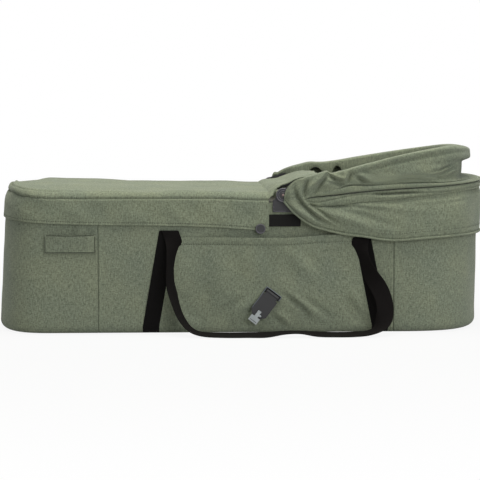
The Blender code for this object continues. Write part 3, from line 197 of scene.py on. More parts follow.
def make_floor(half):
    """A square of white paper whose glow grows with the distance from the object."""
    mesh = bpy.data.meshes.new("floor")
    mesh.from_pydata([(-half, -half, -MM), (half, -half, -MM), (half, half, -MM), (-half, half, -MM)],
                     [], [(0, 1, 2, 3)])
    floor = bpy.data.objects.new("floor", mesh)
    scene.collection.objects.link(floor)
    paper = bpy.data.materials.new("white_paper")
    paper.use_nodes = True
    nodes, links = paper.node_tree.nodes, paper.node_tree.links
    shader = nodes["Principled BSDF"]
    shader.inputs["Base Color"].default_value = (0.50, 0.50, 0.50, 1)
    shader.inputs["Roughness"].default_value = 1.0
    shader.inputs["Specular IOR Level"].default_value = 0.0
    glow = nodes.new("ShaderNodeEmission")
    glow.inputs["Strength"].default_value = 1.0
    where = nodes.new("ShaderNodeTexCoord")
    distance = nodes.new("ShaderNodeVectorMath")
    distance.operation = "LENGTH"
    glow_share = nodes.new("ShaderNodeMapRange")
    glow_share.interpolation_type = "SMOOTHSTEP"
    for key, value in (("From Min", 0.5), ("From Max", 1.5), ("To Min", 0.9), ("To Max", 1.0)):
        glow_share.inputs[key].default_value = value
    links.new(where.outputs["Object"], distance.inputs[0])
    links.new(distance.outputs["Value"], glow_share.inputs["Value"])
    share = nodes.new("ShaderNodeMath")
    share.operation = "MULTIPLY"
    links.new(glow_share.outputs["Result"], share.inputs[1])
    mix = nodes.new("ShaderNodeMixShader")
    links.new(seen_directly(nodes, links), share.inputs[0])
    links.new(share.outputs[0], mix.inputs[0])
    links.new(shader.outputs[0], mix.inputs[1])
    links.new(glow.outputs[0], mix.inputs[2])
    links.new(mix.outputs[0], nodes["Material Output"].inputs["Surface"])
    mesh.materials.append(paper)


def make_lamp(name, place, aim, size, watts, color):
    """A square soft box that looks at a place."""
    data = bpy.data.lights.new(name, "AREA")
    data.shape, data.size, data.energy, data.color = "SQUARE", size, watts, color
    lamp = bpy.data.objects.new(name, data)
    lamp.location = place
    lamp.rotation_mode = "QUATERNION"
    lamp.rotation_quaternion = (Vector(aim) - Vector(place)).to_track_quat("-Z", "Y")
    scene.collection.objects.link(lamp)


make_world(0.42)
make_floor(20.0)
make_lamp("top_box", (0.1, -0.35, 2.3), (0.0, 0.0, 0.15), 1.5, 51, (1.0, 0.99, 0.9))
make_lamp("front_box", (1.6, -2.5, 1.2), (0.1, 0.0, 0.15), 1.6, 28, (0.98, 1.0, 1.04))
print("lamps ready")

# %% [markdown]
# Cloth is a surface with a thickness. The helpers below take a grid of points, one row above the
# other, and make a thin closed shell of it: the outer face, the same face again a cloth's
# thickness further in, and a rim that joins them. Each shell has a UV map in metres along its
# threads, so the weave keeps one scale on all pieces.

# %% Mesh helpers
WELD = 2e-6


def measure(grid, axis):
    """Mean running length along one axis of a grid, starting at 0."""
    step = np.linalg.norm(np.diff(grid, axis=axis), axis=-1)
    return np.concatenate([[0.0], np.cumsum(step.mean(axis=1 - axis))])


def run_along(path):
    """The running length at each point of a path, starting at 0."""
    return np.concatenate([[0.0], np.cumsum(np.linalg.norm(np.diff(path, axis=0), axis=1))])


def unit(vectors):
    """The same vectors at length 1."""
    return vectors / np.linalg.norm(vectors, axis=-1, keepdims=True)


def grid_uv(grid):
    """UV of a grid in metres: the running length along its columns and up its rows."""
    u, v = np.meshgrid(measure(grid, 1), measure(grid, 0))
    return np.stack([u, v], axis=-1) * MM


def grid_normals(grid, closed=False):
    """Outward direction at each point: the cross product of the steps along and up the grid."""
    if closed:
        wide = np.concatenate([grid[:, -2:-1], grid, grid[:, 1:2]], axis=1)
        along = np.gradient(wide, axis=1)[:, 1:-1]
    else:
        along = np.gradient(grid, axis=1)
    across = np.gradient(grid, axis=0)
    normal = np.cross(along, across)
    return normal / np.maximum(np.linalg.norm(normal, axis=-1, keepdims=True), 1e-9)


def make_piece(name, points, quads, uv, sharp=50):
    """One mesh object from points in millimetres, quads and a UV for every corner of them. Where
    its volume comes out negative the faces are turned round, and doubled points are merged."""
    points = np.asarray(points, float).reshape(-1, 3) * MM
    quads, uv = np.asarray(quads), np.asarray(uv, float)
    a, b, c, d = (points[quads[:, k]] for k in range(4))
    volume = (np.einsum("ij,ij->i", a, np.cross(b, c)) + np.einsum("ij,ij->i", a, np.cross(c, d))).sum() / 6
    if volume < 0:
        quads, uv = quads[:, ::-1], uv[:, ::-1]
    mesh = bpy.data.meshes.new(name)
    mesh.from_pydata(points.tolist(), [], quads.tolist())
    mesh.uv_layers.new(name="threads").data.foreach_set("uv", uv.reshape(-1).tolist())
    mesh.shade_smooth()
    weld(mesh)
    mesh.set_sharp_from_angle(angle=math.radians(sharp))
    piece = bpy.data.objects.new(name, mesh)
    scene.collection.objects.link(piece)
    return piece


def weld(mesh):
    """Merges points that lie on each other, such as those of a pole or a seam."""
    work = bmesh.new()
    work.from_mesh(mesh)
    bmesh.ops.remove_doubles(work, verts=work.verts, dist=WELD)
    work.to_mesh(mesh)
    work.free()


def corner_uv(uv):
    """UV of the four corners of every cell of a grid."""
    return np.stack([uv[:-1, :-1], uv[:-1, 1:], uv[1:, 1:], uv[1:, :-1]], axis=2).reshape(-1, 4, 2)


def cells(index):
    """The quads of a grid of point numbers."""
    corners = (index[:-1, :-1], index[:-1, 1:], index[1:, 1:], index[1:, :-1])
    return np.stack(corners, axis=-1).reshape(-1, 4)


def grid_piece(name, grid, uv, sharp):
    """One mesh object whose quads are the cells of a grid."""
    index = np.arange(grid.shape[0] * grid.shape[1]).reshape(grid.shape[:2])
    return make_piece(name, grid, cells(index), corner_uv(uv), sharp)


def shell(name, grid, thickness, closed=False, uv=None, sharp=50, spine=False):
    """A cloth of even thickness: the grid is its outer face, and the inner face lies a thickness
    behind it. With closed, the last column lies on the first. With spine, the top row is folded
    together along the middle line, so it has no rim."""
    grid = np.asarray(grid, float)
    uv = grid_uv(grid) if uv is None else uv
    rows, columns = grid.shape[:2]
    facing = grid_normals(grid, closed)
    if spine:
        facing[-1] = (facing[-1] + facing[-1, ::-1] + facing[-2] + facing[-2, ::-1]) / 4 * (1, 0, 1)
    inner = grid - facing * np.asarray(thickness)
    ring = np.concatenate([grid, inner[::-1], grid[:1]])
    ring_uv = np.concatenate([uv, uv[::-1], uv[:1]])
    index = np.arange(2 * rows * columns).reshape(2 * rows, columns)
    index = np.concatenate([index, index[:1]])
    quads, corners = cells(index), corner_uv(ring_uv)
    if spine:
        kept = np.repeat(np.arange(2 * rows) != rows - 1, columns - 1)
        quads, corners = quads[kept], corners[kept]
    if not closed:
        up = np.arange(rows - 1)
        down = 2 * rows - 1 - up
        for column, order in ((0, 1), (columns - 1, -1)):
            cap = np.stack([index[up, column], index[up + 1, column], index[down - 1, column],
                            index[down, column]], axis=-1)
            low_uv, high_uv = uv[up, column], uv[up + 1, column]
            cap_uv = np.stack([low_uv, high_uv, high_uv, low_uv], axis=1)
            quads = np.concatenate([quads, cap[:, ::order]])
            corners = np.concatenate([corners, cap_uv[:, ::order]])
    return make_piece(name, ring[:-1], quads, corners, sharp)


def closed_rings(path, rings):
    """The rings of a tube with a point added at each end, on which its caps close."""
    first, last = (np.repeat(end[:, None], rings.shape[1], 1) for end in (path[:1], path[-1:]))
    return np.concatenate([first, rings, last])


def tube(name, path, radius, sides=10):
    """A round cord along a path of points, with closed ends."""
    path = np.asarray(path, float)
    run = unit(np.gradient(path, axis=0))
    up = np.array([0.0, 0.0, 1.0]) if abs(run[:, 2]).mean() < 0.8 else np.array([0.0, 1.0, 0.0])
    side = unit(np.cross(run, up))
    top = np.cross(side, run)
    angle = np.linspace(0, 2 * np.pi, sides + 1)[None, :, None]
    rings = path[:, None] + radius * (np.cos(angle) * side[:, None] + np.sin(angle) * top[:, None])
    rings[:, -1] = rings[:, 0]
    rings = closed_rings(path, rings)
    return grid_piece(name, rings, grid_uv(rings), 40)


def ribbon(name, path, across, width, thickness, square):
    """Flat webbing: a rounded rectangle carried along a path, its width lying along across. Where
    square is 0 the width keeps that direction even if the path slants, as at a fold."""
    run = unit(np.gradient(path, axis=0))
    square = np.broadcast_to(square, len(path))
    across = unit(across - run * (square * np.einsum("ij,ij->i", across, run))[:, None])
    face = unit(np.cross(run, across))
    wide = np.array([-1, -.985, -.94, -.5, 0, .5, .94, .985, 1,
                     1, .985, .94, .5, 0, -.5, -.94, -.985, -1, -1])
    high = np.array([.35, .85, 1, .9, .86, .9, 1, .85, .35,
                     -.35, -.85, -1, -.9, -.86, -.9, -1, -.85, -.35, .35])
    rings = (path[:, None] + wide[None, :, None] * across[:, None] * width / 2
             + high[None, :, None] * face[:, None] * thickness / 2)
    uv = np.stack(np.broadcast_arrays(run_along(path)[:, None], wide[None] * width / 2), axis=-1) * MM
    uv = np.concatenate([uv[:1], uv, uv[-1:]])
    return grid_piece(name, closed_rings(path, rings), uv, 45)


def stitches(name, path, outward, length=2.6, gap=1.3, radius=0.34):
    """A row of sewing: short six-sided grains of thread laid along a path, each a little proud
    of the cloth and sunk at both ends."""
    run = run_along(path)
    count = int(run[-1] // (length + gap))
    starts = (np.arange(count) + 0.3) * (length + gap)
    stations = starts[:, None] + np.array([0.0, 0.12, 0.5, 0.88, 1.0]) * length
    centre = np.stack([np.interp(stations, run, path[:, k]) for k in range(3)], axis=-1)
    out = unit(np.stack([np.interp(stations, run, outward[:, k]) for k in range(3)], axis=-1))
    ahead = unit(centre[:, -1:] - centre[:, :1])
    across = np.cross(out, np.broadcast_to(ahead, out.shape))
    size = radius * np.array([0.0, 0.75, 1.0, 0.75, 0.0])[None, :, None, None]
    lift = radius * np.array([-0.6, 0.1, 0.35, 0.1, -0.6])[None, :, None]
    angle = np.linspace(0, 2 * np.pi, 7)[None, None, :, None]
    rings = ((centre + out * lift)[:, :, None]
             + size * (np.cos(angle) * across[:, :, None] + np.sin(angle) * out[:, :, None]))
    index = np.arange(rings.shape[0] * 35).reshape(-1, 5, 7)
    quads = np.concatenate([cells(grain) for grain in index])
    return make_piece(name, rings, quads, np.zeros((len(quads), 4, 2)), 180)


print("mesh helpers ready")

# %% [markdown]
# Folds are what make cloth look like cloth. A fold line is a bent line on the cloth with a
# rounded ridge or valley along it that dies out at both ends. Between the folds a cloth is never
# quite flat, so a sum of a few long slanted waves with fixed seeds gives it a slow unevenness.

# %% Fold helpers
def ease(share):
    """Goes smoothly from 0 to 1."""
    share = np.clip(share, 0.0, 1.0)
    return share * share * (3 - 2 * share)


def bell(gap, width):
    """The bell curve: 1 where the gap is 0, and nearly 0 two widths away."""
    return np.exp(-(gap / width) ** 2)


def fold_line(x, z, route, width, height):
    """A ridge (or a valley, with a negative height) along a bent line: the height times the bell
    curve of the distance from the line, faded out towards both ends of it."""
    best, along, done = np.full(np.shape(x), 1e9), np.zeros(np.shape(x)), 0.0
    total = sum(math.dist(a, b) for a, b in zip(route, route[1:]))
    for (x0, z0), (x1, z1) in zip(route, route[1:]):
        length = math.hypot(x1 - x0, z1 - z0)
        share = np.clip(((x - x0) * (x1 - x0) + (z - z0) * (z1 - z0)) / length ** 2, 0, 1)
        gap = np.hypot(x - x0 - share * (x1 - x0), z - z0 - share * (z1 - z0))
        nearer = gap < best
        best = np.where(nearer, gap, best)
        along = np.where(nearer, (done + share * length) / total, along)
        done += length
    fade = np.sin(np.pi * np.clip(along, 0.03, 0.97)) ** 0.7
    return height * fade * bell(best, width)


def folds(x, z, table):
    """The sum of several fold lines, each a route, a width and a height."""
    return sum(fold_line(x, z, route, width, height) for route, width, height in table)


def uneven(x, z, size, seed):
    """A slow unevenness of about -1 to 1: seven long waves in seeded directions and phases."""
    rng = np.random.RandomState(seed)
    total = np.zeros(np.broadcast(x, z).shape)
    for _ in range(7):
        turn, phase, scale = rng.uniform(0, np.pi), rng.uniform(0, 2 * np.pi), rng.uniform(0.7, 1.5)
        total = total + np.sin((x * np.cos(turn) + z * np.sin(turn)) * 2 * np.pi / (size * scale) + phase)
    return total / 4.0


def curve_through(x, known_x, known_z):
    """A smooth line through known places: cubic pieces whose slope at each place is the mean
    slope of its neighbours."""
    known_x, known_z = np.asarray(known_x, float), np.asarray(known_z, float)
    slope = np.gradient(known_z, known_x)
    x = np.clip(x, known_x[0], known_x[-1])
    k = np.clip(np.searchsorted(known_x, x) - 1, 0, len(known_x) - 2)
    step = known_x[k + 1] - known_x[k]
    t = (x - known_x[k]) / step
    return ((2 * t ** 3 - 3 * t ** 2 + 1) * known_z[k] + (t ** 3 - 2 * t ** 2 + t) * step * slope[k]
            + (3 * t ** 2 - 2 * t ** 3) * known_z[k + 1] + (t ** 3 - t ** 2) * step * slope[k + 1])


print("fold helpers ready")

# %% [markdown]
# The cloth is a melange: light and dark green-grey fibres are spun together before weaving, so
# the colour is broken up along the threads in both directions. A node group works that out once
# for all cloths. Long thin noise runs along the warp, the same noise turned runs along the weft,
# and a small checker says which of the two lies on top. Each cloth brings its own two colours.

# %% Weave group
def tone(red, green, blue):
    """A colour that reads as written on the screen, given in steps of 0 to 255."""
    def one(value):
        """One channel, from the screen's scale to light."""
        value /= 255
        return value / 12.92 if value <= 0.04045 else ((value + 0.055) / 1.055) ** 2.4
    return (one(red), one(green), one(blue), 1.0)


def new_group(name, inputs, outputs):
    """An empty shader group with named sockets."""
    group = bpy.data.node_groups.new(name, "ShaderNodeTree")
    for label, kind in inputs:
        group.interface.new_socket(label, in_out="INPUT", socket_type=kind)
    for label, kind in outputs:
        group.interface.new_socket(label, in_out="OUTPUT", socket_type=kind)
    return group, group.nodes.new("NodeGroupInput"), group.nodes.new("NodeGroupOutput")


def math_node(tree, operation, first, second=None, clamp=False):
    """A Math node whose inputs are sockets or numbers."""
    node = tree.nodes.new("ShaderNodeMath")
    node.operation, node.use_clamp = operation, clamp
    for k, value in enumerate((first, second)):
        if value is None:
            continue
        if isinstance(value, (int, float)):
            node.inputs[k].default_value = value
        else:
            tree.links.new(value, node.inputs[k])
    return node.outputs[0]


def add(tree, first, second, clamp=False):
    """The sum of two sockets or numbers."""
    return math_node(tree, "ADD", first, second, clamp)


def less(tree, first, second, clamp=False):
    """The first less the second."""
    return math_node(tree, "SUBTRACT", first, second, clamp)


def times(tree, first, second, clamp=False):
    """The product of two sockets or numbers."""
    return math_node(tree, "MULTIPLY", first, second, clamp)


def sine(tree, value, pitch):
    """A sine wave along a length, with a given number of radians to the metre."""
    return math_node(tree, "SINE", times(tree, value, pitch))


def stretched_noise(tree, vector, scale, detail=2.0):
    """Noise with its own scale in each direction."""
    mapping = tree.nodes.new("ShaderNodeMapping")
    mapping.inputs["Scale"].default_value = scale
    tree.links.new(vector, mapping.inputs["Vector"])
    noise = tree.nodes.new("ShaderNodeTexNoise")
    noise.inputs["Scale"].default_value = 1.0
    noise.inputs["Detail"].default_value = detail
    tree.links.new(mapping.outputs[0], noise.inputs["Vector"])
    return noise.outputs["Fac"]


def mix_colors(tree, factor, first, second):
    """Mixes two colours, given as sockets or values."""
    node = tree.nodes.new("ShaderNodeMix")
    node.data_type = "RGBA"
    for socket, value in ((node.inputs[0], factor), (node.inputs[6], first), (node.inputs[7], second)):
        if isinstance(value, (int, float, tuple)):
            socket.default_value = value
        else:
            tree.links.new(value, socket)
    return node.outputs[2]


TWO_COLOURS = [("Threads", "NodeSocketVector"), ("Dark", "NodeSocketColor"), ("Light", "NodeSocketColor")]
THREAD, TWILL_ALONG, TWILL_ACROSS, CORD = 0.0016, 0.0030, 0.0022, 0.0011
COLOUR_AND_HEIGHT = [("Color", "NodeSocketColor"), ("Height", "NodeSocketFloat")]


def make_melange():
    """Thread noise in two directions, speckle and a slow drift from cool to warm."""
    group, given, result = new_group("melange_weave", TWO_COLOURS, COLOUR_AND_HEIGHT)
    threads = given.outputs["Threads"]
    warp = stretched_noise(group, threads, (480.0, 130.0, 1.0))
    weft = stretched_noise(group, threads, (190.0, 520.0, 1.0))
    speckle = stretched_noise(group, threads, (680.0, 340.0, 1.0))
    cloud = stretched_noise(group, threads, (17.0, 13.0, 1.0))
    split = group.nodes.new("ShaderNodeSeparateXYZ")
    group.links.new(threads, split.inputs[0])
    pitch = 2 * math.pi / THREAD
    checker = times(group, sine(group, split.outputs[0], pitch), sine(group, split.outputs[1], pitch))
    over = add(group, times(group, checker, 0.9), 0.4, clamp=True)
    fibre = group.nodes.new("ShaderNodeMix")
    group.links.new(over, fibre.inputs[0])
    group.links.new(warp, fibre.inputs[2])
    group.links.new(weft, fibre.inputs[3])
    value = add(group, times(group, fibre.outputs[0], 1.5), times(group, speckle, 0.72))
    value = less(group, value, 0.6, clamp=True)
    color = mix_colors(group, value, given.outputs["Dark"], given.outputs["Light"])
    drift = times(group, less(group, cloud, 0.32), 2.8, clamp=True)
    tint = mix_colors(group, drift, (0.91, 0.935, 0.96, 1), (1.065, 1.06, 1.03, 1))
    shade = group.nodes.new("ShaderNodeMix")
    shade.data_type = "RGBA"
    shade.blend_type = "MULTIPLY"
    shade.inputs[0].default_value = 1.0
    group.links.new(color, shade.inputs[6])
    group.links.new(tint, shade.inputs[7])
    group.links.new(shade.outputs[2], result.inputs["Color"])
    relief = add(group, times(group, over, 0.6), times(group, fibre.outputs[0], 0.6))
    group.links.new(relief, result.inputs["Height"])
    return group


melange = make_melange()
print("group:", melange.name)

# %% [markdown]
# Webbing is woven tight in a slanted twill, so its colour hardly varies and its relief does the
# work. Moulded plastic has a fine spark-eroded grain and slightly polished, lighter patches
# where hands touch it. Both are groups too, because several parts share them.

# %% Webbing and plastic groups
def make_twill():
    """A slanted sine for the twill and a row of fine cords across the webbing."""
    group, given, result = new_group("webbing_twill", TWO_COLOURS, COLOUR_AND_HEIGHT)
    split = group.nodes.new("ShaderNodeSeparateXYZ")
    group.links.new(given.outputs["Threads"], split.inputs[0])
    u, v = split.outputs[0], split.outputs[1]
    along = times(group, u, 2 * math.pi / TWILL_ALONG)
    slant = add(group, along, times(group, v, 2 * math.pi / TWILL_ACROSS))
    twill = add(group, times(group, math_node(group, "SINE", slant), 0.5), 0.5)
    cords = math_node(group, "ABSOLUTE", sine(group, v, math.pi / CORD))
    fuzz = stretched_noise(group, given.outputs["Threads"], (500.0, 1400.0, 1.0))
    relief = add(group, times(group, twill, 0.6), times(group, cords, 0.4))
    shade = add(group, times(group, relief, 0.5), times(group, fuzz, 0.6))
    shade = less(group, shade, 0.1, clamp=True)
    color = mix_colors(group, shade, given.outputs["Dark"], given.outputs["Light"])
    group.links.new(color, result.inputs["Color"])
    group.links.new(relief, result.inputs["Height"])
    return group


def make_moulded():
    """Fine grain, and patches that are lighter and change the roughness."""
    group, given, result = new_group(
        "moulded_grain",
        [("Place", "NodeSocketVector"), ("Color", "NodeSocketColor"), ("Worn", "NodeSocketColor"),
         ("Roughness", "NodeSocketFloat")],
        [("Color", "NodeSocketColor"), ("Roughness", "NodeSocketFloat"), ("Height", "NodeSocketFloat")])
    grain = stretched_noise(group, given.outputs["Place"], (1800.0, 1800.0, 1800.0), 3.0)
    patch = stretched_noise(group, given.outputs["Place"], (70.0, 70.0, 70.0), 3.0)
    worn = times(group, less(group, patch, 0.5, clamp=True), 2.2, clamp=True)
    color = mix_colors(group, worn, given.outputs["Color"], given.outputs["Worn"])
    group.links.new(color, result.inputs["Color"])
    change = times(group, less(group, patch, 0.5), 0.35)
    rough = add(group, given.outputs["Roughness"], change, clamp=True)
    group.links.new(rough, result.inputs["Roughness"])
    group.links.new(grain, result.inputs["Height"])
    return group


twill = make_twill()
moulded = make_moulded()
print("groups:", twill.name, moulded.name)

# %% [markdown]
# Each finish is one material. Tub, apron and hood are cut from nearly the same cloth, so their
# two thread colours hardly differ. A little sheen stands for the short fibres that catch the
# light. Hard finishes have a colour and a lighter one for their worn patches.

# %% Materials
def make_material(name, group, coordinate, colors, roughness, relief, distance, sheen=0.0, metallic=0.0,
                  specular=0.3):
    """A Principled material fed by one of the groups."""
    material = bpy.data.materials.new(name)
    material.use_nodes = True
    tree = material.node_tree
    shader = tree.nodes["Principled BSDF"]
    shader.inputs["Roughness"].default_value = roughness
    shader.inputs["Metallic"].default_value = metallic
    shader.inputs["Specular IOR Level"].default_value = specular
    shader.inputs["Sheen Weight"].default_value = sheen
    shader.inputs["Sheen Roughness"].default_value = 0.5
    where = tree.nodes.new("ShaderNodeTexCoord")
    effect = tree.nodes.new("ShaderNodeGroup")
    effect.node_tree = group
    tree.links.new(where.outputs[coordinate], effect.inputs[0])
    effect.inputs[1].default_value, effect.inputs[2].default_value = colors
    if "Roughness" in effect.inputs:
        effect.inputs["Roughness"].default_value = roughness
        tree.links.new(effect.outputs["Roughness"], shader.inputs["Roughness"])
    tree.links.new(effect.outputs["Color"], shader.inputs["Base Color"])
    bump = tree.nodes.new("ShaderNodeBump")
    bump.inputs["Strength"].default_value = relief
    bump.inputs["Distance"].default_value = distance
    tree.links.new(effect.outputs["Height"], bump.inputs["Height"])
    tree.links.new(bump.outputs[0], shader.inputs["Normal"])
    return material


def cloth(name, dark, light, roughness=0.92, relief=0.5, distance=0.0005, sheen=0.12, coordinate="UV"):
    """A melange of two thread colours."""
    colors = (tone(*dark), tone(*light))
    return make_material(name, melange, coordinate, colors, roughness, relief, distance, sheen)


def belt(name, dark, light, relief):
    """Webbing of two thread colours."""
    return make_material(name, twill, "UV", (tone(*dark), tone(*light)), 0.9, relief, 0.0006, specular=0.1)


def hard(name, color, worn, roughness, relief=0.05, distance=0.0001, metallic=0.0, specular=0.3):
    """Plastic, metal or board."""
    return make_material(name, moulded, "Object", (tone(*color), tone(*worn)), roughness, relief, distance,
                         metallic=metallic, specular=specular)


green_cloth = cloth("green_cloth", (70, 76, 62), (149, 156, 133))
apron_cloth = cloth("apron_cloth", (70, 76, 61), (149, 156, 132))
hood_cloth = cloth("hood_cloth", (71, 77, 62), (149, 156, 132))
# The thread is darker than the cloth: partly its own colour, partly painted shade of the stitch lines.
thread = cloth("sewing_thread_and_seam_shade", (46, 50, 42), (72, 76, 64), 0.8, 0.1, 0.0001, 0.0, "Object")
lining_cloth = cloth("lining_cloth", (176, 175, 168), (214, 212, 204), 0.95, 0.25, 0.0004, 0.2)
hook_tape = cloth("hook_tape", (13, 13, 12), (24, 23, 21), 0.97, 0.5, 0.0008, 0.0, "Object")
webbing = belt("webbing", (7, 6, 6), (23, 20, 19), 0.6)
sewn_webbing = belt("sewn_webbing", (6, 6, 6), (21, 19, 18), 0.8)
black_plastic = hard("black_plastic", (32, 32, 34), (46, 45, 49), 0.42, 0.10, 0.0002, specular=0.5)
dark_plastic = hard("dark_plastic", (32, 32, 33), (40, 40, 41), 0.5, 0.10, 0.0002, specular=0.5)
# Darker than the other black plastics: painted shade in the pit of the adaptor's socket.
pit_shade_plastic = hard("pit_shade_plastic", (17, 17, 16), (26, 26, 25), 0.6, 0.10, 0.0002)
grey_plastic = hard("grey_plastic", (160, 166, 166), (180, 185, 184), 0.45, 0.10, 0.0002, specular=0.5)
# A pale grey-blue for thin lines on the slot's rim and the plate's edge: painted highlights on those edges.
edge_highlight_plastic = hard("edge_highlight_plastic", (104, 110, 116), (128, 134, 140), 0.4)
# A grey plastic for raised rings, rims and edge lines, lighter than the parts they sit on: partly their own
# grey, partly painted sheen.
rim_sheen_plastic = hard("rim_sheen_plastic", (78, 76, 82), (100, 98, 104), 0.35, specular=0.5)
pin_metal = hard("pin_metal", (126, 108, 104), (150, 134, 130), 0.35, metallic=1.0)
tube_metal = hard("tube", (58, 58, 60), (76, 76, 78), 0.4, metallic=0.8)
rivet_metal = hard("rivet_metal", (70, 68, 68), (96, 94, 92), 0.3, metallic=1.0)
board = hard("board", (84, 78, 70), (96, 90, 82), 0.8, 0.2, 0.0003)
print("materials:", len(bpy.data.materials))

# %% [markdown]
# Most pieces are finished the same way: they get their material, they ride on a body of the
# frame and they stand for the plain solid of the CAD model.

# %% Finishing helper
def dress(piece, material, body=None, replaces=()):
    """Gives a piece its material, its body and the solids that it stands for."""
    piece.data.materials.append(material)
    if body:
        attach(piece, body)
    if replaces:
        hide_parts(*replaces)
    return piece


SIDES = (("left", -1), ("right", 1))
print("sides:", [label for label, side in SIDES])

# %% [markdown]
# The tub is sewn from four panels: two long sides, a foot and a head. Their seams show as a thin
# dark line between two low ridges. At the bottom each panel turns under to the floor, and at the
# top it rolls over the rim tube and ends inside, above the lining. The long sides stay within a
# millimetre of the plain solid, because straps and pockets lie on them; the ends may swell more.

# %% Tub walls
BOTTOM_ROUND = 12.0


def wall_profile():
    """Inset and height of a panel, from under the floor's edge to the inside of the rim: a
    quarter circle, a straight rise, and half an ellipse over the rim tube."""
    turn = np.linspace(0, np.pi / 2, 9)
    over = np.linspace(0, np.pi, 13)
    inset = np.concatenate([BOTTOM_ROUND * (1 - np.sin(turn)), np.zeros(56),
                            8.5 - 8.5 * np.cos(over), [17.0]])
    height = np.concatenate([BOTTOM_ROUND * (1 - np.cos(turn)), np.linspace(BOTTOM_ROUND, 214, 58)[1:-1],
                             214 + 6.5 * np.sin(over), [208.0]])
    return inset, height


def seam_shape(distance):
    """A seam seen in section: a narrow valley with a low ridge beside it."""
    return -1.9 * bell(distance, 0.6) + 0.35 * bell(distance - 2.6, 1.6)


FOOT_PANEL_FOLDS = (
    ([(-281, 184), (-286, 174), (-290, 160)], 3.2, -2.6),
    ([(-270, 186), (-272, 174), (-274, 158)], 5.0, 2.2),
    ([(-262, 186), (-258, 174), (-252, 160)], 3.0, -2.2),
    ([(-400, 60), (-395, 110), (-402, 150)], 18, 0.9), ([(-350, 20), (-345, 80), (-352, 120)], 16, -0.8),
    ([(-412, 34), (-380, 22), (-330, 17)], 8, 0.8),
)
SIDE_PANEL_FOLDS = (
    ([(-236, 16), (-232, 90), (-238, 150)], 8, -0.7), ([(-205, 30), (-200, 110), (-206, 160)], 16, 0.5),
    ([(238, 20), (235, 90), (240, 150)], 6, -0.6),
)
HEAD_PANEL_FOLDS = (
    ([(270, 20), (276, 80), (268, 140)], 14, -0.9), ([(330, 16), (322, 70), (334, 130)], 20, 1.0),
    ([(392, 30), (396, 80), (390, 140)], 12, -0.8),
)


def make_panel(name, first, last, table, room, replaces, seed):
    """One panel between two readings of the tape. room is how far its swell may go outward."""
    inset, height = wall_profile()
    fine = np.array([0.0, 0.3, 0.7, 1.2, 1.9, 2.8, 4.0, 6.0])
    middle = np.linspace(first + 9.0, last - 9.0, max(24, int((last - first) / 3.4)))
    run = np.concatenate([first + fine, middle, last - fine[::-1]])
    run, inset = np.meshgrid(run, inset)
    height = np.broadcast_to(height[:, None], run.shape)
    x = along_x(run)
    window = ease((height - 14) / 20) * (1 - ease((height - 196) / 14))
    swell = uneven(run, height, 150, seed) * 0.6 + uneven(run, height, 60, seed + 1) * 0.3
    swell = np.minimum(swell + folds(x, height, table), room)
    edge = np.minimum(run - first, last - run)
    seam = seam_shape(edge) * (1 - ease((height - 210) / 6))
    lean = -3.0 * shares_at(run)[1] * ease(height / 200)
    piece = shell(name, around(run, height, swell * window - inset + seam + lean - 0.05), 1.3)
    return dress(piece, green_cloth, "tub", replaces)


foot_run, head_run = run_at(FOOT_SEAM_X), run_at(HEAD_SEAM_X)
far_head, far_foot = 2 * HALF_TAPE - head_run, 2 * HALF_TAPE - foot_run
for name, first, last, table, room, solid, seed in (
        ("tub_side_left", foot_run, head_run, SIDE_PANEL_FOLDS, 0.25, "wall_left", 3),
        ("tub_side_right", far_head, far_foot, SIDE_PANEL_FOLDS, 0.25, "wall_right", 5),
        ("tub_foot_panel", -foot_run, foot_run, FOOT_PANEL_FOLDS, 1.6, "wall_foot", 7),
        ("tub_head_panel", head_run, far_head, HEAD_PANEL_FOLDS, 1.6, "wall_head", 9)):
    panel = make_panel(name, first, last, table, room, [solid], seed)
    print(name + ":", len(panel.data.polygons))

# %% [markdown]
# The floor is the same cloth, drawn flat under the board and set in a piped seam. It is made like
# a drum skin: the outline is drawn in towards the middle line of the tub, ring by ring.

# %% Floor
def drum_skin(run, shares, out, height):
    """Rows of points from the outline in to the middle line: across the straight sides a row
    closes on the line y = 0, and at the rounded ends on one point. height is a function of the
    share drawn in and of x."""
    run, share = np.meshgrid(run, shares)
    x0, foot, head, width, side = shares_at(run)
    x = x0 - (FOOT_DEPTH + out) * foot * (1 - share) + (HEAD_DEPTH + out) * head * (1 - share)
    y = side * (HALF_WIDTH + out) * width * (1 - share)
    return np.stack([x, y, height(share, x)], axis=-1)


FLOOR_OUT = -12.2
ring_run = np.linspace(-HALF_TAPE, HALF_TAPE, 321)
shares = np.linspace(0, 1, 16)
under = drum_skin(ring_run, shares, FLOOR_OUT, lambda share, x: 0.6 * (1 - (1 - share) ** 4) + 0 * x)
upper = drum_skin(ring_run, shares[::-1], FLOOR_OUT, lambda share, x: 3.4 + 0 * x)
grid = np.concatenate([under[::-1], upper[::-1]])
floor_cloth = grid_piece("floor_cloth", grid, grid[..., :2] * MM, 40)
dress(floor_cloth, green_cloth, "tub", ["floor_panel"])
print("floor:", len(floor_cloth.data.polygons))

# %% [markdown]
# Two lifting straps run under the floor and up both sides, where each folds over and goes on as
# the loose handle. They lean: the foot strap towards the head as it rises, the head strap towards
# the foot.

# %% Lifting straps
WEB, WEB_WIDTH, LAYER, STRAP_LOW = 1.5, 28.0, 186.3, 1.05
# Of each strap: its x at the bottom and at the top, the height of its top, and how far the fold
# carries it along.
STRAPS = {"foot": (-156.0, -128.0, 173.0, 5.0), "head": (227.5, 197.5, 160.5, -3.0)}
FOLD_OUT = WEB + 1.2


def strap_x(which, z):
    """The x of a strap's middle at a height: straight up to the rounded bottom edge, then leaning."""
    low, high, top = STRAPS[which][:3]
    return low + (high - low) * np.clip((z - BOTTOM_ROUND) / (top - BOTTOM_ROUND), 0, 1)


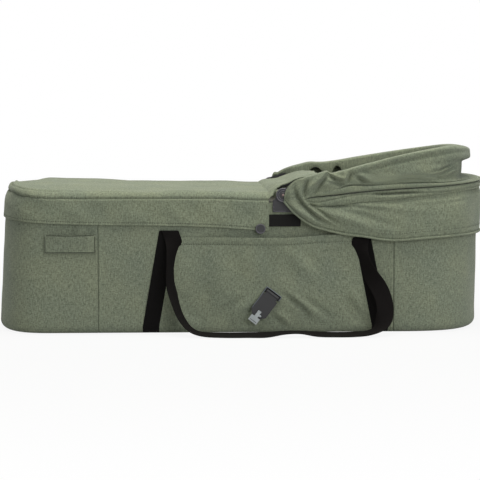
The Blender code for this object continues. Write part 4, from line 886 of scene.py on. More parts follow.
def strap_path(which):
    """One side of a strap as (y, z), from the middle of the floor to the front of its top fold."""
    top = STRAPS[which][2]
    inner = LAYER + WEB / 2
    radius = BOTTOM_ROUND + 0.3 + WEB / 2
    under = np.stack([np.linspace(0, inner - radius, 14), np.full(14, STRAP_LOW)], axis=1)
    turn = np.linspace(0, np.pi / 2, 9)[1:]
    corner = np.stack([inner - radius + radius * np.sin(turn),
                       BOTTOM_ROUND - (BOTTOM_ROUND - STRAP_LOW) * np.cos(turn)], axis=1)
    rise = np.stack([np.full(30, inner), np.linspace(BOTTOM_ROUND, top - 2.1, 32)[1:-1]], axis=1)
    over = np.linspace(np.pi, 0, 9)
    bend = FOLD_OUT / 2
    fold = np.stack([inner + bend + bend * np.cos(over), top - 2.1 + bend * np.sin(over)], axis=1)
    return np.concatenate([under, corner, rise, fold])


for which in STRAPS:
    half = strap_path(which)
    whole = np.concatenate([half[::-1] * (-1, 1), half[1:]])
    shift = STRAPS[which][3] * ease((np.abs(whole[:, 0]) - LAYER - WEB / 2) / FOLD_OUT)
    path = np.stack([strap_x(which, whole[:, 1]) + shift, whole[:, 0], whole[:, 1]], axis=1)
    across = np.tile([1.0, 0.0, 0.0], (len(path), 1))
    strap = ribbon("lift_strap_%s_web" % which, path, across, WEB_WIDTH, WEB, 0.0)
    dress(strap, sewn_webbing, "tub", ["lift_strap_" + which])
print("straps:", len(strap.data.polygons), "faces each")

# %% [markdown]
# The handles are loose loops. Each leaves the fold at the top of its strap face on, twists as it
# falls, and lies on the ground with its flat side down. The route below is read like a diary of
# the webbing: x, distance out from the middle, height, how far it has turned from facing out (0)
# to lying flat (1), and a small tilt in radians.

# %% Handles
HANDLE_ROUTE = np.array([
    (-123.1, 189.75, 171.0, 0.0, 0.0), (-121.2, 190.0, 165.0, 0.0, 0.0), (-118.2, 190.7, 155.0, 0.1, 0.0),
    (-118.0, 191.6, 143.0, 0.34, 0.0), (-120.6, 192.6, 124.0, 0.54, 0.0), (-122.6, 194.5, 106.0, 0.63, 0.0),
    (-122.0, 198.0, 80.0, 0.62, 0.0), (-114.8, 204.5, 50.0, 0.72, 0.0), (-104.8, 212.5, 27.0, 0.76, 0.0),
    (-90.0, 221.0, 10.5, 0.84, 0.05), (-70.0, 228.5, 4.2, 0.97, 0.12), (-36.0, 233.0, 3.1, 1.0, 0.16),
    (2.0, 234.0, 3.2, 1.0, 0.17), (34.0, 233.5, 3.4, 1.0, 0.18), (64.0, 232.5, 6.6, 1.0, 0.06),
    (90.0, 232.0, 7.0, 1.0, 0.04), (118.0, 232.5, 4.0, 1.0, 0.16), (148.0, 233.5, 3.1, 1.0, 0.16),
    (180.0, 233.0, 3.4, 0.98, 0.16), (204.0, 230.0, 5.2, 0.9, 0.12), (221.0, 224.5, 11.5, 0.6, 0.05),
    (230.5, 218.0, 25.0, 0.18, 0.0), (233.6, 212.0, 42.0, 0.0, 0.0), (231.0, 206.5, 60.0, 0.0, 0.0),
    (223.5, 202.0, 78.0, 0.1, 0.0), (212.6, 198.0, 95.0, 0.3, 0.0), (203.0, 194.6, 114.0, 0.5, 0.0),
    (195.4, 192.2, 132.0, 0.42, 0.0), (192.6, 190.6, 146.0, 0.2, 0.0), (194.4, 189.75, 158.5, 0.0, 0.0)])


def through(points, steps):
    """A smooth route through the points: each step is a cubic that leaves and enters with the
    mean direction of the neighbours."""
    points = np.asarray(points, float)
    before = np.concatenate([points[:1], points[:-1]])[:-1]
    after = np.concatenate([points[1:], points[-1:]])[1:]
    first, second = points[:-1], points[1:]
    t = (np.arange(steps) / steps)[None, :, None]
    curve = (first[:, None] * 2 + (second - before)[:, None] * t
             + (2 * before - 5 * first + 4 * second - after)[:, None] * t ** 2
             + (-before + 3 * first - 3 * second + after)[:, None] * t ** 3) / 2
    return np.concatenate([curve.reshape(-1, points.shape[1]), points[-1:]])


route = through(HANDLE_ROUTE, 5)
for label, side in SIDES:
    path = np.stack([route[:, 0], side * route[:, 1], np.maximum(route[:, 2], 0.78)], axis=1)
    turn, tilt = np.clip(route[:, 3], 0, 1) * np.pi / 2, route[:, 4]
    ahead = np.where(np.arange(len(route)) < len(route) / 2, 1.0, -1.0)
    across = np.stack([ahead * np.cos(turn), -side * np.sin(turn) * np.cos(tilt),
                       np.sin(turn) * np.sin(tilt)], axis=1)
    square = 1 - ease((route[:, 2] - 95) / 70)
    handle = ribbon("handle_%s_web" % label, path, across, WEB_WIDTH, WEB, square)
    dress(handle, webbing, None, ["handle_" + label])
    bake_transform(handle)
print("handles:", len(handle.data.polygons), "faces each")

# %% [markdown]
# Between the straps a wide pocket is sewn to each side. Its open top has a turned hem, thirteen
# millimetres deep, and stands a little off the wall. The adaptor comes out through a slot in the
# cloth, and its weight pulls soft creases down towards the floor.

# %% Side pockets
POCKET_LOW, POCKET_HIGH, POCKET_CLOTH, HEM_ROW = 13.0, 161.0, 1.5, 59
POCKET_FOLDS = (
    ([(62, 68), (74, 60), (98, 40), (108, 22)], 4.5, -3.0), ([(70, 70), (96, 54), (126, 26)], 6, 2.4),
    ([(84, 66), (118, 46), (146, 24)], 5, -1.9), ([(40, 34), (52, 24), (64, 8)], 5, -2.2),
    ([(48, 40), (66, 26), (80, 10)], 5, 1.9), ([(20, 48), (8, 34), (-2, 12)], 5, -2.2),
    ([(12, 56), (-10, 40), (-24, 10)], 7, 1.6), ([(2, 62), (-24, 46), (-48, 18)], 7, -1.3),
    ([(-60, 148), (-40, 110), (-56, 60)], 16, 1.3), ([(-16, 140), (-8, 100), (-20, 70)], 14, -1.1),
    ([(60, 150), (92, 118), (128, 84)], 13, 1.8), ([(96, 146), (112, 124), (128, 104)], 10, -1.6),
    ([(34, 140), (44, 120), (40, 96)], 12, -1.3), ([(168, 60), (176, 44), (196, 20)], 7, -1.8),
    ([(176, 76), (190, 50), (204, 30)], 7, 1.6), ([(-108, 70), (-92, 40), (-66, 14)], 8, -1.4),
    ([(140, 150), (150, 100), (146, 60)], 16, -1.0),
)
ADAPTOR_X, ADAPTOR_OUT, ADAPTOR_Z, ADAPTOR_TILT = 46.5, 194.6, 66.0, math.radians(37)
ACROSS = np.array([math.cos(ADAPTOR_TILT), 0.0, -math.sin(ADAPTOR_TILT)])
FALL = np.array([-math.sin(ADAPTOR_TILT), 0.0, -math.cos(ADAPTOR_TILT)])


def on_adaptor(side, places):
    """Points given as width, length down the plate and distance out from its hinge bar."""
    centre = np.array([ADAPTOR_X, side * ADAPTOR_OUT, ADAPTOR_Z])
    return np.array([centre + ACROSS * w + FALL * length + np.array([0.0, side * out, 0.0])
                     for w, length, out in places])


def pocket_bulge(x, z):
    """How far the pocket stands off the wall: most at the top, half way along it."""
    share = np.clip((x + 88.0) / 264.0, 0, 1)
    height = np.clip((z - POCKET_LOW) / (POCKET_HIGH - POCKET_LOW), 0, 1)
    return 8.0 * np.minimum(1.0, 1.35 * np.sin(np.pi * share) ** 2) * height ** 0.6


def pocket_grid():
    """Rows of the pocket between the edges of the two straps: round the bottom edge of the tub,
    up its side, and at the top the turned hem, which rises a little towards the head."""
    turn = np.linspace(0.35, np.pi / 2, 7)[:-1]
    z = np.concatenate([BOTTOM_ROUND * (1 - np.cos(turn)), np.linspace(BOTTOM_ROUND, 144.0, 50),
                        np.linspace(144.0, POCKET_HIGH, 14)[1:]])
    inset = np.concatenate([BOTTOM_ROUND * (1 - np.sin(turn)), np.zeros(63)])
    share, z = np.meshgrid(np.linspace(0, 1, 130), z)
    first = strap_x("foot", z) + WEB_WIDTH / 2 - 0.5
    last = strap_x("head", z) - WEB_WIDTH / 2 + 0.5
    x = first + (last - first) * share
    out = 0.3 + POCKET_CLOTH + pocket_bulge(x, z) - inset[:, None]
    edge = np.minimum(x - first, last - x)
    quiet = 1 - np.exp(-(np.hypot(x - 38, z - 54) / 25.0) ** 4)
    loose = ease(edge / 14) * ease(z / 16)
    change = 1.9 * folds(x, z, POCKET_FOLDS) + 1.5 * uneven(x, z, 70, 21) + 0.7 * uneven(x, z * 0.4, 40, 22)
    out = out + np.maximum(change, -1.2 - 0.6 * pocket_bulge(x, z)) * loose * quiet
    rise = 4.5 * ease((x - 60) / 120) + 0.5 * np.sin(share * 9)
    hem = -0.9 * bell(z - 148.6 - 2.2 * ease((share - 0.6) / 0.4), 0.9) + 0.45 * ease((z - 150) / 2)
    lip = 2.2 * ease((z - 146) / 12) * np.sin(np.pi * share) ** 2
    out = out + (hem + lip) * ease(edge / 6)
    return x, out, z + rise * ease((z - 110) / 50)


def cut_slot(piece, side, half_wide, up, down):
    """Cuts the adaptor's slot through the cloth: a tilted box is subtracted from it."""
    outline = ((-half_wide, -up), (half_wide, -up), (half_wide, down), (-half_wide, down))
    corners = on_adaptor(side, [(w, length, side * out) for out in (-15.0, 15.0) for w, length in outline])
    quads = [(0, 1, 2, 3), (7, 6, 5, 4), (0, 4, 5, 1), (1, 5, 6, 2), (2, 6, 7, 3), (3, 7, 4, 0)]
    tool = make_piece("slot_tool", corners, quads, np.zeros((6, 4, 2)))
    cutter = piece.modifiers.new("slot", "BOOLEAN")
    cutter.operation = "DIFFERENCE"
    cutter.object = tool
    cutter.solver = "EXACT"
    bpy.context.view_layer.update()
    mesh = bpy.data.meshes.new_from_object(piece.evaluated_get(bpy.context.evaluated_depsgraph_get()))
    piece.modifiers.clear()
    piece.data = mesh
    mesh.set_sharp_from_angle(angle=math.radians(50))
    bpy.data.objects.remove(tool, do_unlink=True)


x, out, z = pocket_grid()
for label, side in SIDES:
    grid = np.stack([x, side * (HALF_WIDTH + out), z], axis=-1)
    if side > 0:
        grid = grid[:, ::-1]
    pocket = shell("side_pocket_%s_cloth" % label, grid, POCKET_CLOTH)
    cut_slot(pocket, side, 15.6, 5.0, 4.6)
    dress(pocket, green_cloth, "tub", ["side_pocket_" + label])
    facing = grid_normals(grid)[HEM_ROW, 2:-2]
    sewing = stitches("side_pocket_%s_stitches" % label, grid[HEM_ROW, 2:-2], facing)
    dress(sewing, thread, "tub")
print("pocket:", len(pocket.data.polygons))

# %% [markdown]
# Near the foot each side has a small pocket, big enough for the end of a strap. It is a plain
# rectangle, sewn on three sides, and its open top gapes a little. A dark cord round the sewn edges
# is the seam and painted shade of the outline, and a dark cord just inside the open top is painted
# shade in the gap.

# %% Tab pockets
TAB_FOOT_X, TAB_HEAD_X, TAB_LOW, TAB_TALL = -334.0, -247.0, 135.0, 29.5

for label, side in SIDES:
    share, rise = np.meshgrid(np.linspace(0, 1, 44), np.linspace(0, 1, 20))
    x = TAB_FOOT_X + (TAB_HEAD_X - TAB_FOOT_X) * share
    z = TAB_LOW + TAB_TALL * rise
    gape = np.minimum(1, 1.6 * np.sin(np.pi * share)) * rise ** 1.2
    edge = np.minimum(np.minimum(x - TAB_FOOT_X, TAB_HEAD_X - x), z - TAB_LOW)
    out = 2.1 + 4.6 * gape + 0.35 * bell(edge - 2.0, 1.2)
    out = out + 0.3 * uneven(x, z, 30, 31) * gape
    z = z - 0.9 * np.sin(np.pi * share) ** 2 * rise ** 3
    run = run_at(x) if side < 0 else 2 * HALF_TAPE - run_at(x)
    grid = around(run, z, out)
    if side > 0:
        grid = grid[:, ::-1]
    tab = shell("tab_pocket_%s_cloth" % label, grid, 1.0)
    dress(tab, green_cloth, "tub", ["tab_pocket_" + label])
    facing = grid_normals(grid)
    border = np.concatenate([grid[::-1, 1], grid[1, 1:-1], grid[:, -2]])
    border_out = np.concatenate([facing[::-1, 1], facing[1, 1:-1], facing[:, -2]])
    # A dark cord along the three sewn edges: the seam, and painted shade of the pocket's outline.
    seam = tube("tab_pocket_%s_seam" % label, border[1:-1] + border_out[1:-1] * 0.1, 0.6, 8)
    dress(seam, thread, "tub")
    # A dark cord just inside the open top: painted shade in the gap under the mouth.
    lip = grid[-1, 2:-2] - facing[-1, 2:-2] * 0.9 + (0, 0, 0.35)
    mouth_shade = tube("tab_pocket_%s_mouth" % label, lip, 0.75, 8)
    dress(mouth_shade, thread, "tub")
print("tab pocket:", len(tab.data.polygons))

# %% [markdown]
# The apron fits over the foot end like a fitted sheet. Its skirt hangs down outside the tub and
# its padded top rises over a sewn border and then lies nearly flat. The seam between them is
# gathered round the foot corner, which puckers it. Skirt and top are two pieces that meet in the
# valley of the seam.

# %% Apron skirt
APRON_END_X, SEAM_Z, SEAM_OUT = 40.6, 222.6, 2.1
apron_run = np.linspace(-run_at(APRON_END_X), run_at(APRON_END_X), 300)


def hem_height(x):
    """The skirt's hem: nearly level round the foot, then dropping slowly to the open end."""
    return curve_through(x, [-420, -385, -350, -315, -247, -140, -47, 17, 40.6],
                         [191, 188.6, 186.2, 184.4, 182.4, 181, 178, 173.5, 172.0])


def seam_height(x):
    """The seam between skirt and top: it drops a little to the open end and is a centimetre
    higher at the foot."""
    return SEAM_Z + 10.0 * ease((-325.0 - x) / 90.0) + 3.0 * (1 - ease((x + 60.0) / 95.0))


def foot_inset(x):
    """How far the apron's seam is drawn in at the foot, where the top's elastic pulls it."""
    return 9.0 * ease((-330.0 - x) / 80.0)


def puckers(run, x):
    """Small gathers along the seam, strong at the foot corner and weak along the side."""
    amount = 0.25 + 1.5 * (1 - ease((x + 350.0) / 120.0))
    waves = uneven(run, 0, 26, 40) * 0.8 + uneven(run, 0, 12, 42) * 0.35 + uneven(run, 0, 60, 41) * 0.5
    return amount * waves


SKIRT_FOLDS = (
    ([(-300, 216), (-278, 200), (-262, 186)], 11, 1.1), ([(-262, 218), (-246, 202), (-232, 184)], 12, -1.0),
    ([(-130, 218), (-112, 200), (-96, 182)], 10, 0.9), ([(-96, 220), (-82, 202), (-70, 184)], 9, -0.9),
    ([(-56, 218), (-44, 200), (-30, 180)], 11, 0.8), ([(-10, 216), (0, 200), (14, 182)], 10, -0.7),
    ([(-380, 214), (-372, 200), (-380, 186)], 14, 1.0), ([(-404, 216), (-410, 200), (-404, 184)], 12, -0.9),
    ([(-200, 214), (-186, 198), (-178, 180)], 12, 0.7),
)


def skirt_grid():
    """Rows of the apron's skirt from its hem to the seam's valley."""
    run, share = np.meshgrid(apron_run, np.linspace(0, 1, 44))
    x = along_x(run)
    low, high = hem_height(x), seam_height(x)
    z = low + (high - low) * share
    drawn_in = 3.0 * shares_at(run)[1]
    out = 3.2 + (SEAM_OUT - 3.2) * share - drawn_in - (foot_inset(x) - drawn_in) * share ** 5
    loose = np.sin(np.pi * np.clip(share * 0.9 + 0.1, 0, 1))
    foot = 1 - ease((x + 400.0) / 60.0)
    change = folds(x, z, SKIRT_FOLDS) * 1.7 + 0.8 * uneven(run, z, 90, 43) + 0.4 * uneven(run, z, 45, 44)
    out = out + loose * np.maximum(change, -1.2) + 1.2 * foot * loose
    valley = -2.6 * bell(high - z, 1.1)
    hem = -0.5 * bell(z - low - 3.6, 0.8)
    wander = 0.7 * puckers(run, x) * share ** 8
    out = out + valley + hem + 0.5 * puckers(run, x) * ease((share - 0.75) / 0.25)
    return around(run, z + wander, out)


grid = skirt_grid()
apron_skirt = shell("apron_skirt", grid, 1.3)
dress(apron_skirt, apron_cloth, "apron", ["apron"])
facing = grid_normals(grid)
dress(stitches("apron_hem_stitches", grid[4], facing[4]), thread, "apron")
print("apron skirt:", len(apron_skirt.data.polygons))

# %% [markdown]
# The top is drawn in towards the middle line like the floor, but it climbs as it goes: steeply
# over the sewn border and then hardly at all. A shallow crease runs parallel to the seam where
# the border's padding ends, and at the far corner of the foot the cloth hangs slack.

# %% Apron top
BORDER_STEP = 11.4


def crown_height(x):
    """How high the top rises above the seam: more at the foot than at the open end."""
    return 26.0 + (14.5 - 26.0) * ease((x + 420.0) / 460.6)


def top_height(share, x):
    """Height of the apron's top: a rounded step over the border, then a slow climb to the crown."""
    step = BORDER_STEP * np.sin(np.pi / 2 * np.minimum(share * HALF_WIDTH / 9.5, 1)) ** 1.1
    rest = crown_height(x) - BORDER_STEP + SEAM_Z - seam_height(x)
    return seam_height(x) + step + rest * (1 - (1 - np.clip((share - 0.085) / 0.915, 0, 1)) ** 5)


def apron_top_grid():
    """Rows of the top from the seam in to the middle line."""
    shares = np.concatenate([[0.0, 0.004, 0.009, 0.016], np.linspace(0.025, 0.2, 30),
                             np.linspace(0.2, 1.0, 34)[1:]])
    run, share = np.meshgrid(apron_run, shares)
    edge_x = along_x(run)
    x0, foot, head, width, side = shares_at(run)
    reach = SEAM_OUT - foot_inset(edge_x)
    x = x0 - (FOOT_DEPTH + FOOT_LEAN + reach) * foot * (1 - share)
    x = x + (HEAD_DEPTH + SEAM_OUT) * head * (1 - share)
    y = side * (HALF_WIDTH + SEAM_OUT) * width * (1 - share)
    inward = share * HALF_WIDTH
    valley = bell(inward, 1.2)
    swell = uneven(x, y, 120, 51) * 1.1 + uneven(x, y, 55, 52) * 0.6
    crease = -2.2 * bell(inward - 12.5, 2.2) + 1.6 * bell(inward - 20.0, 5.0)
    crease = crease * (0.75 + 0.25 * uneven(run, 0, 90, 53)) * (1 + 0.9 * (1 - ease((x + 370.0) / 90.0)))
    gathers = puckers(run, edge_x) * bell(inward, 10.0)
    z = top_height(share, x) + swell * ease(inward / 20) + crease * (1 - valley) + gathers * 0.9
    slack = 11.0 * (1 - ease((x + 402.0) / 62.0)) * ease((y + 10.0) / 110.0)
    z = z - slack * np.minimum(inward / 8.0, 1)
    grid = np.stack([x, y, z], axis=-1)
    push = 1.1 * bell(inward - 3.5, 3.0) - 2.8 * valley + 0.5 * gathers
    direction = around(run, SEAM_Z, 1.0) - around(run, SEAM_Z, 0.0)
    return grid + direction * push[..., None]


top_points = apron_top_grid()
# The threads follow the climb of the border, so the weave isn't stretched on it.
outward = around(apron_run, SEAM_Z, 1.0) - around(apron_run, SEAM_Z, 0.0)
climb = top_points[-1:, :, 2:] - top_points[..., 2:]
flat = top_points[..., :2] + outward[..., :2] * climb
apron_top = shell("apron_top", top_points, 1.4, uv=flat * MM, sharp=70, spine=True)
dress(apron_top, apron_cloth, "apron", ["apron"])
print("apron top:", len(apron_top.data.polygons))

# %% [markdown]
# At the apron's open end a flap is sewn on. It stands up against the folded hood to keep the wind
# out, so it faces the sky and looks lighter than the rest.

# %% Wind flap
FLAP_START_X, FLAP_LENGTH, FLAP_RISE = 40.4, 84.5, 41.0
FLAP_SEAM_HALF, FLAP_END_HALF = HALF_WIDTH + SEAM_OUT, 160.0


def open_end_height(y):
    """Height of the apron top's open edge at each y, which the flap's first row follows."""
    edge = np.concatenate([top_points[:, 0], top_points[:, -1]])
    edge = edge[np.argsort(edge[:, 1])]
    return np.interp(y, edge[:, 1], edge[:, 2])


def flap_grid():
    """Rows from the seam to the free edge: the half width narrows and the height rises as a
    quarter of a sine, while the crown of the apron fades out."""
    along, across = np.meshgrid(np.linspace(0, 1, 36), np.linspace(-1, 1, 90), indexing="ij")
    narrowed, near, far = ease(along * 2.2), ease(-across * 2), ease(across * 2)
    half = FLAP_SEAM_HALF + (FLAP_END_HALF - FLAP_SEAM_HALF) * narrowed
    crown = (open_end_height(half * across) - SEAM_Z) * (1 - narrowed)
    rise = FLAP_RISE * np.sin(along * np.pi / 2)
    x = FLAP_START_X + FLAP_LENGTH * along
    ripple = 0.9 * uneven(x, across * 160, 60, 61) + 0.9 * np.sin(across * 16 + along * 3) * along ** 2
    edge_curl = -2.0 * bell((1 - np.abs(across)) * 160, 5.0)
    tilt = 4.5 * near * np.sin(np.pi * np.minimum(along * 1.3, 1)) ** 0.8 - 5.5 * far * ease(along / 0.7)
    z = SEAM_Z + crown + rise + tilt + (ripple + edge_curl + 1.5 * near) * ease(along * 4)
    return np.stack([x, half * across, z], axis=-1)


grid = flap_grid()[::-1]
wind_flap = shell("wind_flap_cloth", grid, 1.6, sharp=70)
dress(wind_flap, apron_cloth, "apron", ["wind_flap"])
print("wind flap:", len(wind_flap.data.polygons))

# %% [markdown]
# The hood is folded down over the head end in three layers. The lowest is its skirt, which hangs
# outside the tub; over it lies the rolled back panel round the middle bow, and on top the front
# panel, which hangs from the front bow like a broad band. Near the hinge all three are gathered
# to a point. The lines below say where each layer begins and ends along the side.

# %% Hood lines
HOOD_START, HINGE_X, HINGE_Z = 65.5, 63.9, 231.7
HEM = ([65.5, 77, 93, 112, 136, 168, 200, 232, 248, 277, 307, 351, 411],
       [221, 207.6, 193.4, 181.3, 173.3, 166.2, 162.2, 156.9, 155.6, 157, 159.5, 162, 164])
SKIRT_TOP = ([65.5, 80, 98, 110, 123, 142, 158, 190, 238, 286, 334, 382, 411],
             [225, 219.5, 216, 215.1, 213.2, 213.4, 214.2, 217.8, 221.7, 228, 232.6, 237.3, 239.5])
GROOVE = ([65.5, 105, 123, 142, 161, 181, 208, 231, 253, 285, 333, 381, 411],
          [226, 221, 220.2, 223.3, 227.1, 230.9, 233, 232.5, 233.5, 235, 236.4, 242.1, 244.5])
MIDDLE = ([65.5, 80, 99, 110, 130, 155, 174, 208, 238, 301, 365, 389, 411],
          [227.2, 224.4, 224.4, 227.4, 229.7, 231.8, 234.1, 237.8, 240, 244, 248.3, 250.2, 251.2])
BAND = ([65.5, 80, 99, 110, 130, 148, 160, 170, 218, 253, 290, 327, 365, 411],
        [228.6, 230, 232.5, 235, 238.5, 241.5, 244.6, 246.8, 248.3, 251, 251.6, 251.6, 253.2, 256])
NEAR_TOP = ([65.5, 68, 73, 80, 98, 115, 130, 137, 143, 149, 157, 167, 183, 223,
             271, 303, 330, 360, 385, 411],
            [229.6, 238, 246, 252.6, 259.8, 264.6, 269.5, 271, 267.4, 268.0, 270.4, 272.4, 277, 287.6,
             299.2, 305.6, 310, 312.4, 311.4, 308.5])
FAR_TOP = ([65.5, 67, 80, 98, 120, 140, 152, 163, 184, 223, 363, 411],
           [233, 240, 252, 261, 267.5, 271.6, 271.2, 271.4, 273.8, 280.4, 302, 308.5])
# Folds of the gathered corner, which run through all three layers.
CORNER_FOLDS = (
    ([(80, 254), (73, 243), (73, 228), (82, 212), (99, 198), (128, 182)], 5.5, 3.6),
    ([(86, 254), (81.2, 241.9), (83.7, 235.6), (87.6, 227.9), (97.8, 213.9), (117, 196), (150, 178)],
     3.4, -7.6),
    ([(97, 256), (90.6, 244), (91, 232), (99, 220), (113, 208), (130, 195.5), (150, 181)], 4.2, 4.4),
    ([(99, 226), (105, 218.5), (122, 206.5), (138, 195), (162, 180)], 3.0, -6.0),
    ([(104, 259), (101.6, 250), (99, 238), (97.5, 226)], 3.0, -6.8),
    ([(136, 272), (129.7, 264), (117, 253.6), (107.9, 243.1), (103.6, 232)], 4.2, 5.6),
    ([(137.5, 267), (131.5, 256.8), (123, 246.6), (114, 233)], 3.0, -6.2),
)


def hood_top(run):
    """The hood's upper edge, which differs between the near and the far side."""
    x = along_x(run)
    near, far = curve_through(x, *NEAR_TOP), curve_through(x, *FAR_TOP)
    return np.where(shares_at(run)[4] > 0, far, near)


def hood_reach(run):
    """How far the hood cloth stands outside the tub's outline: most at the gathered corner."""
    x = along_x(run)
    corner = 1 - ease((x - HOOD_START - 40) / 80)
    strap = 1.6 * bell(x - 198, 34)
    return 7.8 + 3.6 * corner + strap - 2.8 * ease(shares_at(run)[2])


def head_pull(run):
    """How far the front bow and its cloth lie inside the outline at the head."""
    return 16.0 * ease(shares_at(run)[2]) ** 4


hood_first = run_at(HOOD_START)
hood_last = 2 * HALF_TAPE - hood_first
hood_run = np.concatenate([
    np.linspace(hood_first, hood_first + 110, 70),
    np.linspace(hood_first + 110, hood_last - 110, 190)[1:-1],
    np.linspace(hood_last - 110, hood_last, 70)])
hood_x, hood_head = along_x(hood_run), shares_at(hood_run)[2]
hood_far = shares_at(hood_run)[4] > 0
print("hood tape: %.0f mm" % (hood_run[-1] - hood_run[0]))

# %% [markdown]
# The skirt's folds start at the gathered corner and sweep down and back, and the longest one runs
# beside the bound front edge. At the top the skirt is creased and rolls outward once before it
# goes in under the middle bow.

# %% Hood skirt
HOOD_SKIRT_FOLDS = (
    ([(108, 219), (138, 206), (178, 190), (222, 172)], 8.0, 3.0),
    ([(112, 217), (150, 209), (200, 196), (256, 178)], 6.0, -2.4),
    ([(116, 220), (150, 216), (190, 211), (240, 205)], 3.6, -2.6),
    ([(130, 221), (190, 216), (250, 210), (320, 202)], 6.0, 1.6),
    ([(200, 160), (236, 160), (252, 170), (256, 200)], 7.0, -1.8),
    ([(226, 158), (262, 172), (272, 196)], 8.0, 1.6),
    ([(340, 168), (350, 194), (346, 226)], 14.0, 1.4), ([(300, 168), (296, 192), (306, 222)], 12.0, -1.3),
    ([(390, 172), (396, 200), (392, 230)], 10.0, -1.3), ([(280, 222), (330, 226), (380, 231)], 3.0, -1.4),
    ([(310, 214), (350, 219), (396, 226)], 3.0, -1.0),
)


def hood_skirt_grid():
    """Rows of the skirt from its hem to the crease, then those of the roll above it."""
    run, x = hood_run, hood_x
    low, crease, middle = (curve_through(x, *line) for line in (HEM, SKIRT_TOP, MIDDLE))
    reach = hood_reach(run)
    share = np.linspace(0, 1, 56)[:, None]
    z = low + (crease - low) * share
    body = 1.35 * folds(x, z, HOOD_SKIRT_FOLDS)
    body = body + 1.2 * uneven(run, z, 80, 71) * (1 - 0.3 * hood_far)
    start = ease((x - 66) / 14) * (1 - 0.75 * bell(z - low, 5.0))
    swell = (2.6 + 3.4 * bell(x - 125, 45)) * np.sin(np.pi * np.clip(share, 0, 1)) ** 1.2
    swell = swell * (0.4 + 0.6 * ease((x - 90) / 80)) * (1 - 0.5 * ease(hood_head))
    corner = folds(x, z, CORNER_FOLDS) * ease((x - 66) / 6) * (1 - 0.6 * bell(z - low, 3.5))
    crease_in = -4.6 * ease((share - 0.86) / 0.14)
    crease_in = crease_in * (0.75 + 0.4 * uneven(run, 0, 90, 74)) * ease((x - 96) / 20)
    band = -1.2 * bell(z - low - 2.4, 1.3) - 0.6 * bell(z - low - 13.5, 0.9) * ease((x - 190) / 50)
    lowest = 4.6 - 2.6 * ease((x - 125) / 30) - 4.0 * ease((z - 219) / 4)
    out = reach + (body + swell) * start + corner + crease_in + band
    skirt = around(run, z, np.maximum(out, lowest))

    height = (middle - crease) / 2
    angle = np.linspace(0, np.pi, 36)[1:, None]
    z = crease + height - height * np.cos(angle)
    gathered = ease((x - 94) / 20)
    above = z - curve_through(x, *GROOVE)
    opening = ease((x - 212) / 12) * (1 - ease((x - 272) / 26))
    out = reach - 3.4 * gathered + (4.4 + 0.7 * uneven(run, 0, 60, 73)) * np.sin(angle) * gathered
    out = out - 2.4 * bell(above, 1.3) * gathered - 6.0 * bell(above - 0.6, 2.2) * opening
    out = out + 1.2 * bell(above + 5.0, 3.0) * opening - 7.0 * ease((angle - 2.5) / 0.64) * gathered
    out = out + folds(x, z, CORNER_FOLDS) * ease((x - 66) / 6) * (1 - ease((x - 125) / 30))
    return np.concatenate([skirt, around(run, z, out)])


skirt_points = hood_skirt_grid()
hood_skirt = shell("hood_skirt_cloth", skirt_points, 1.5, sharp=75)
dress(hood_skirt, hood_cloth, "tub", ["hood_skirt"])
facing = grid_normals(skirt_points)
binding = tube("hood_skirt_binding", skirt_points[0] + facing[0] * 0.3, 1.8, 12)
dress(binding, hood_cloth, "tub")
late = hood_x > 215
dress(stitches("hood_hem_stitches", skirt_points[9][late], facing[9][late]), thread, "tub")
print("hood skirt:", len(hood_skirt.data.polygons))

# %% [markdown]
# The back panel joins the skirt to the middle bow. Folded, it is a roll of cloth a centimetre
# thick; when the hood is raised it opens to a wedge, and its threads are spread as long as that
# wedge's arc.

# %% Hood back panel
BACK_START, BACK_RISE = (222.3, 0.0745), 2.5
FRONT_START, FRONT_RISE = (236.8, 0.065), 12.0


def blend_across(piece):
    """Bakes the piece's place into its points. It does not blend the piece between two bodies."""
    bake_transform(piece)


def spread_uv(grid, line, rise):
    """Threads of a panel that is folded away: where it crosses the layer the cloth is as long as
    the arc that it spans when the hood is open, an eighth of a turn round the hinge."""
    uv = grid_uv(grid)
    share = np.clip((grid[..., 2] - line[0] - line[1] * grid[..., 0]) / rise, 0, 1)
    arc = np.pi / 4 * np.hypot(grid[..., 0] - HINGE_X, grid[..., 2] - HINGE_Z)
    return uv + np.stack([0 * share, share * arc * MM], axis=-1)


def back_panel_grid():
    """A rolled strip between the middle line and the band: its section is half an ellipse that
    starts and ends tucked in, with small uneven swells along it, and a flange goes on inside."""
    run, x = hood_run, hood_x
    low = curve_through(x, *MIDDLE) - 0.7 * (1 - ease((x - 94) / 16))
    high = curve_through(x, *BAND)
    angle = np.linspace(0, np.pi, 48)[:, None]
    z = (low + high) / 2 - (high - low) / 2 * np.cos(angle)
    wave = uneven(run, 0, 70, 81) * 0.6 + uneven(run, z * 3, 38, 82) * 0.4
    layered = ease((x - 94) / 30)
    out = hood_reach(run) - 2.6 * layered + (4.4 + wave) * np.sin(angle) * layered
    out = out + folds(x, z, CORNER_FOLDS) * ease((x - 66) / 6) * (1 - ease((x - 140) / 20))
    out = out - 5.0 * ease((x - 94) / 16) * (1 - ease(angle / 0.9))
    out = out - 6.0 * ease((x - 150) / 16) * ease((angle - 2.2) / 0.9)
    depth = np.linspace(0, 1, 6)[1:][:, None]
    inward = (9.0 + 10.0 * ease(hood_head)) * ease((x - 80) / 40)
    flange = around(run, high - 1.2 * depth, out[-1] - inward * depth)
    return np.concatenate([around(run, z, out), flange])


grid = back_panel_grid()
hood_back = shell("hood_back_cloth", grid, 1.4, uv=spread_uv(grid, BACK_START, BACK_RISE), sharp=75)
dress(hood_back, hood_cloth, None, ["hood_back_panel"])
blend_across(hood_back)
print("hood back panel:", len(hood_back.data.polygons))
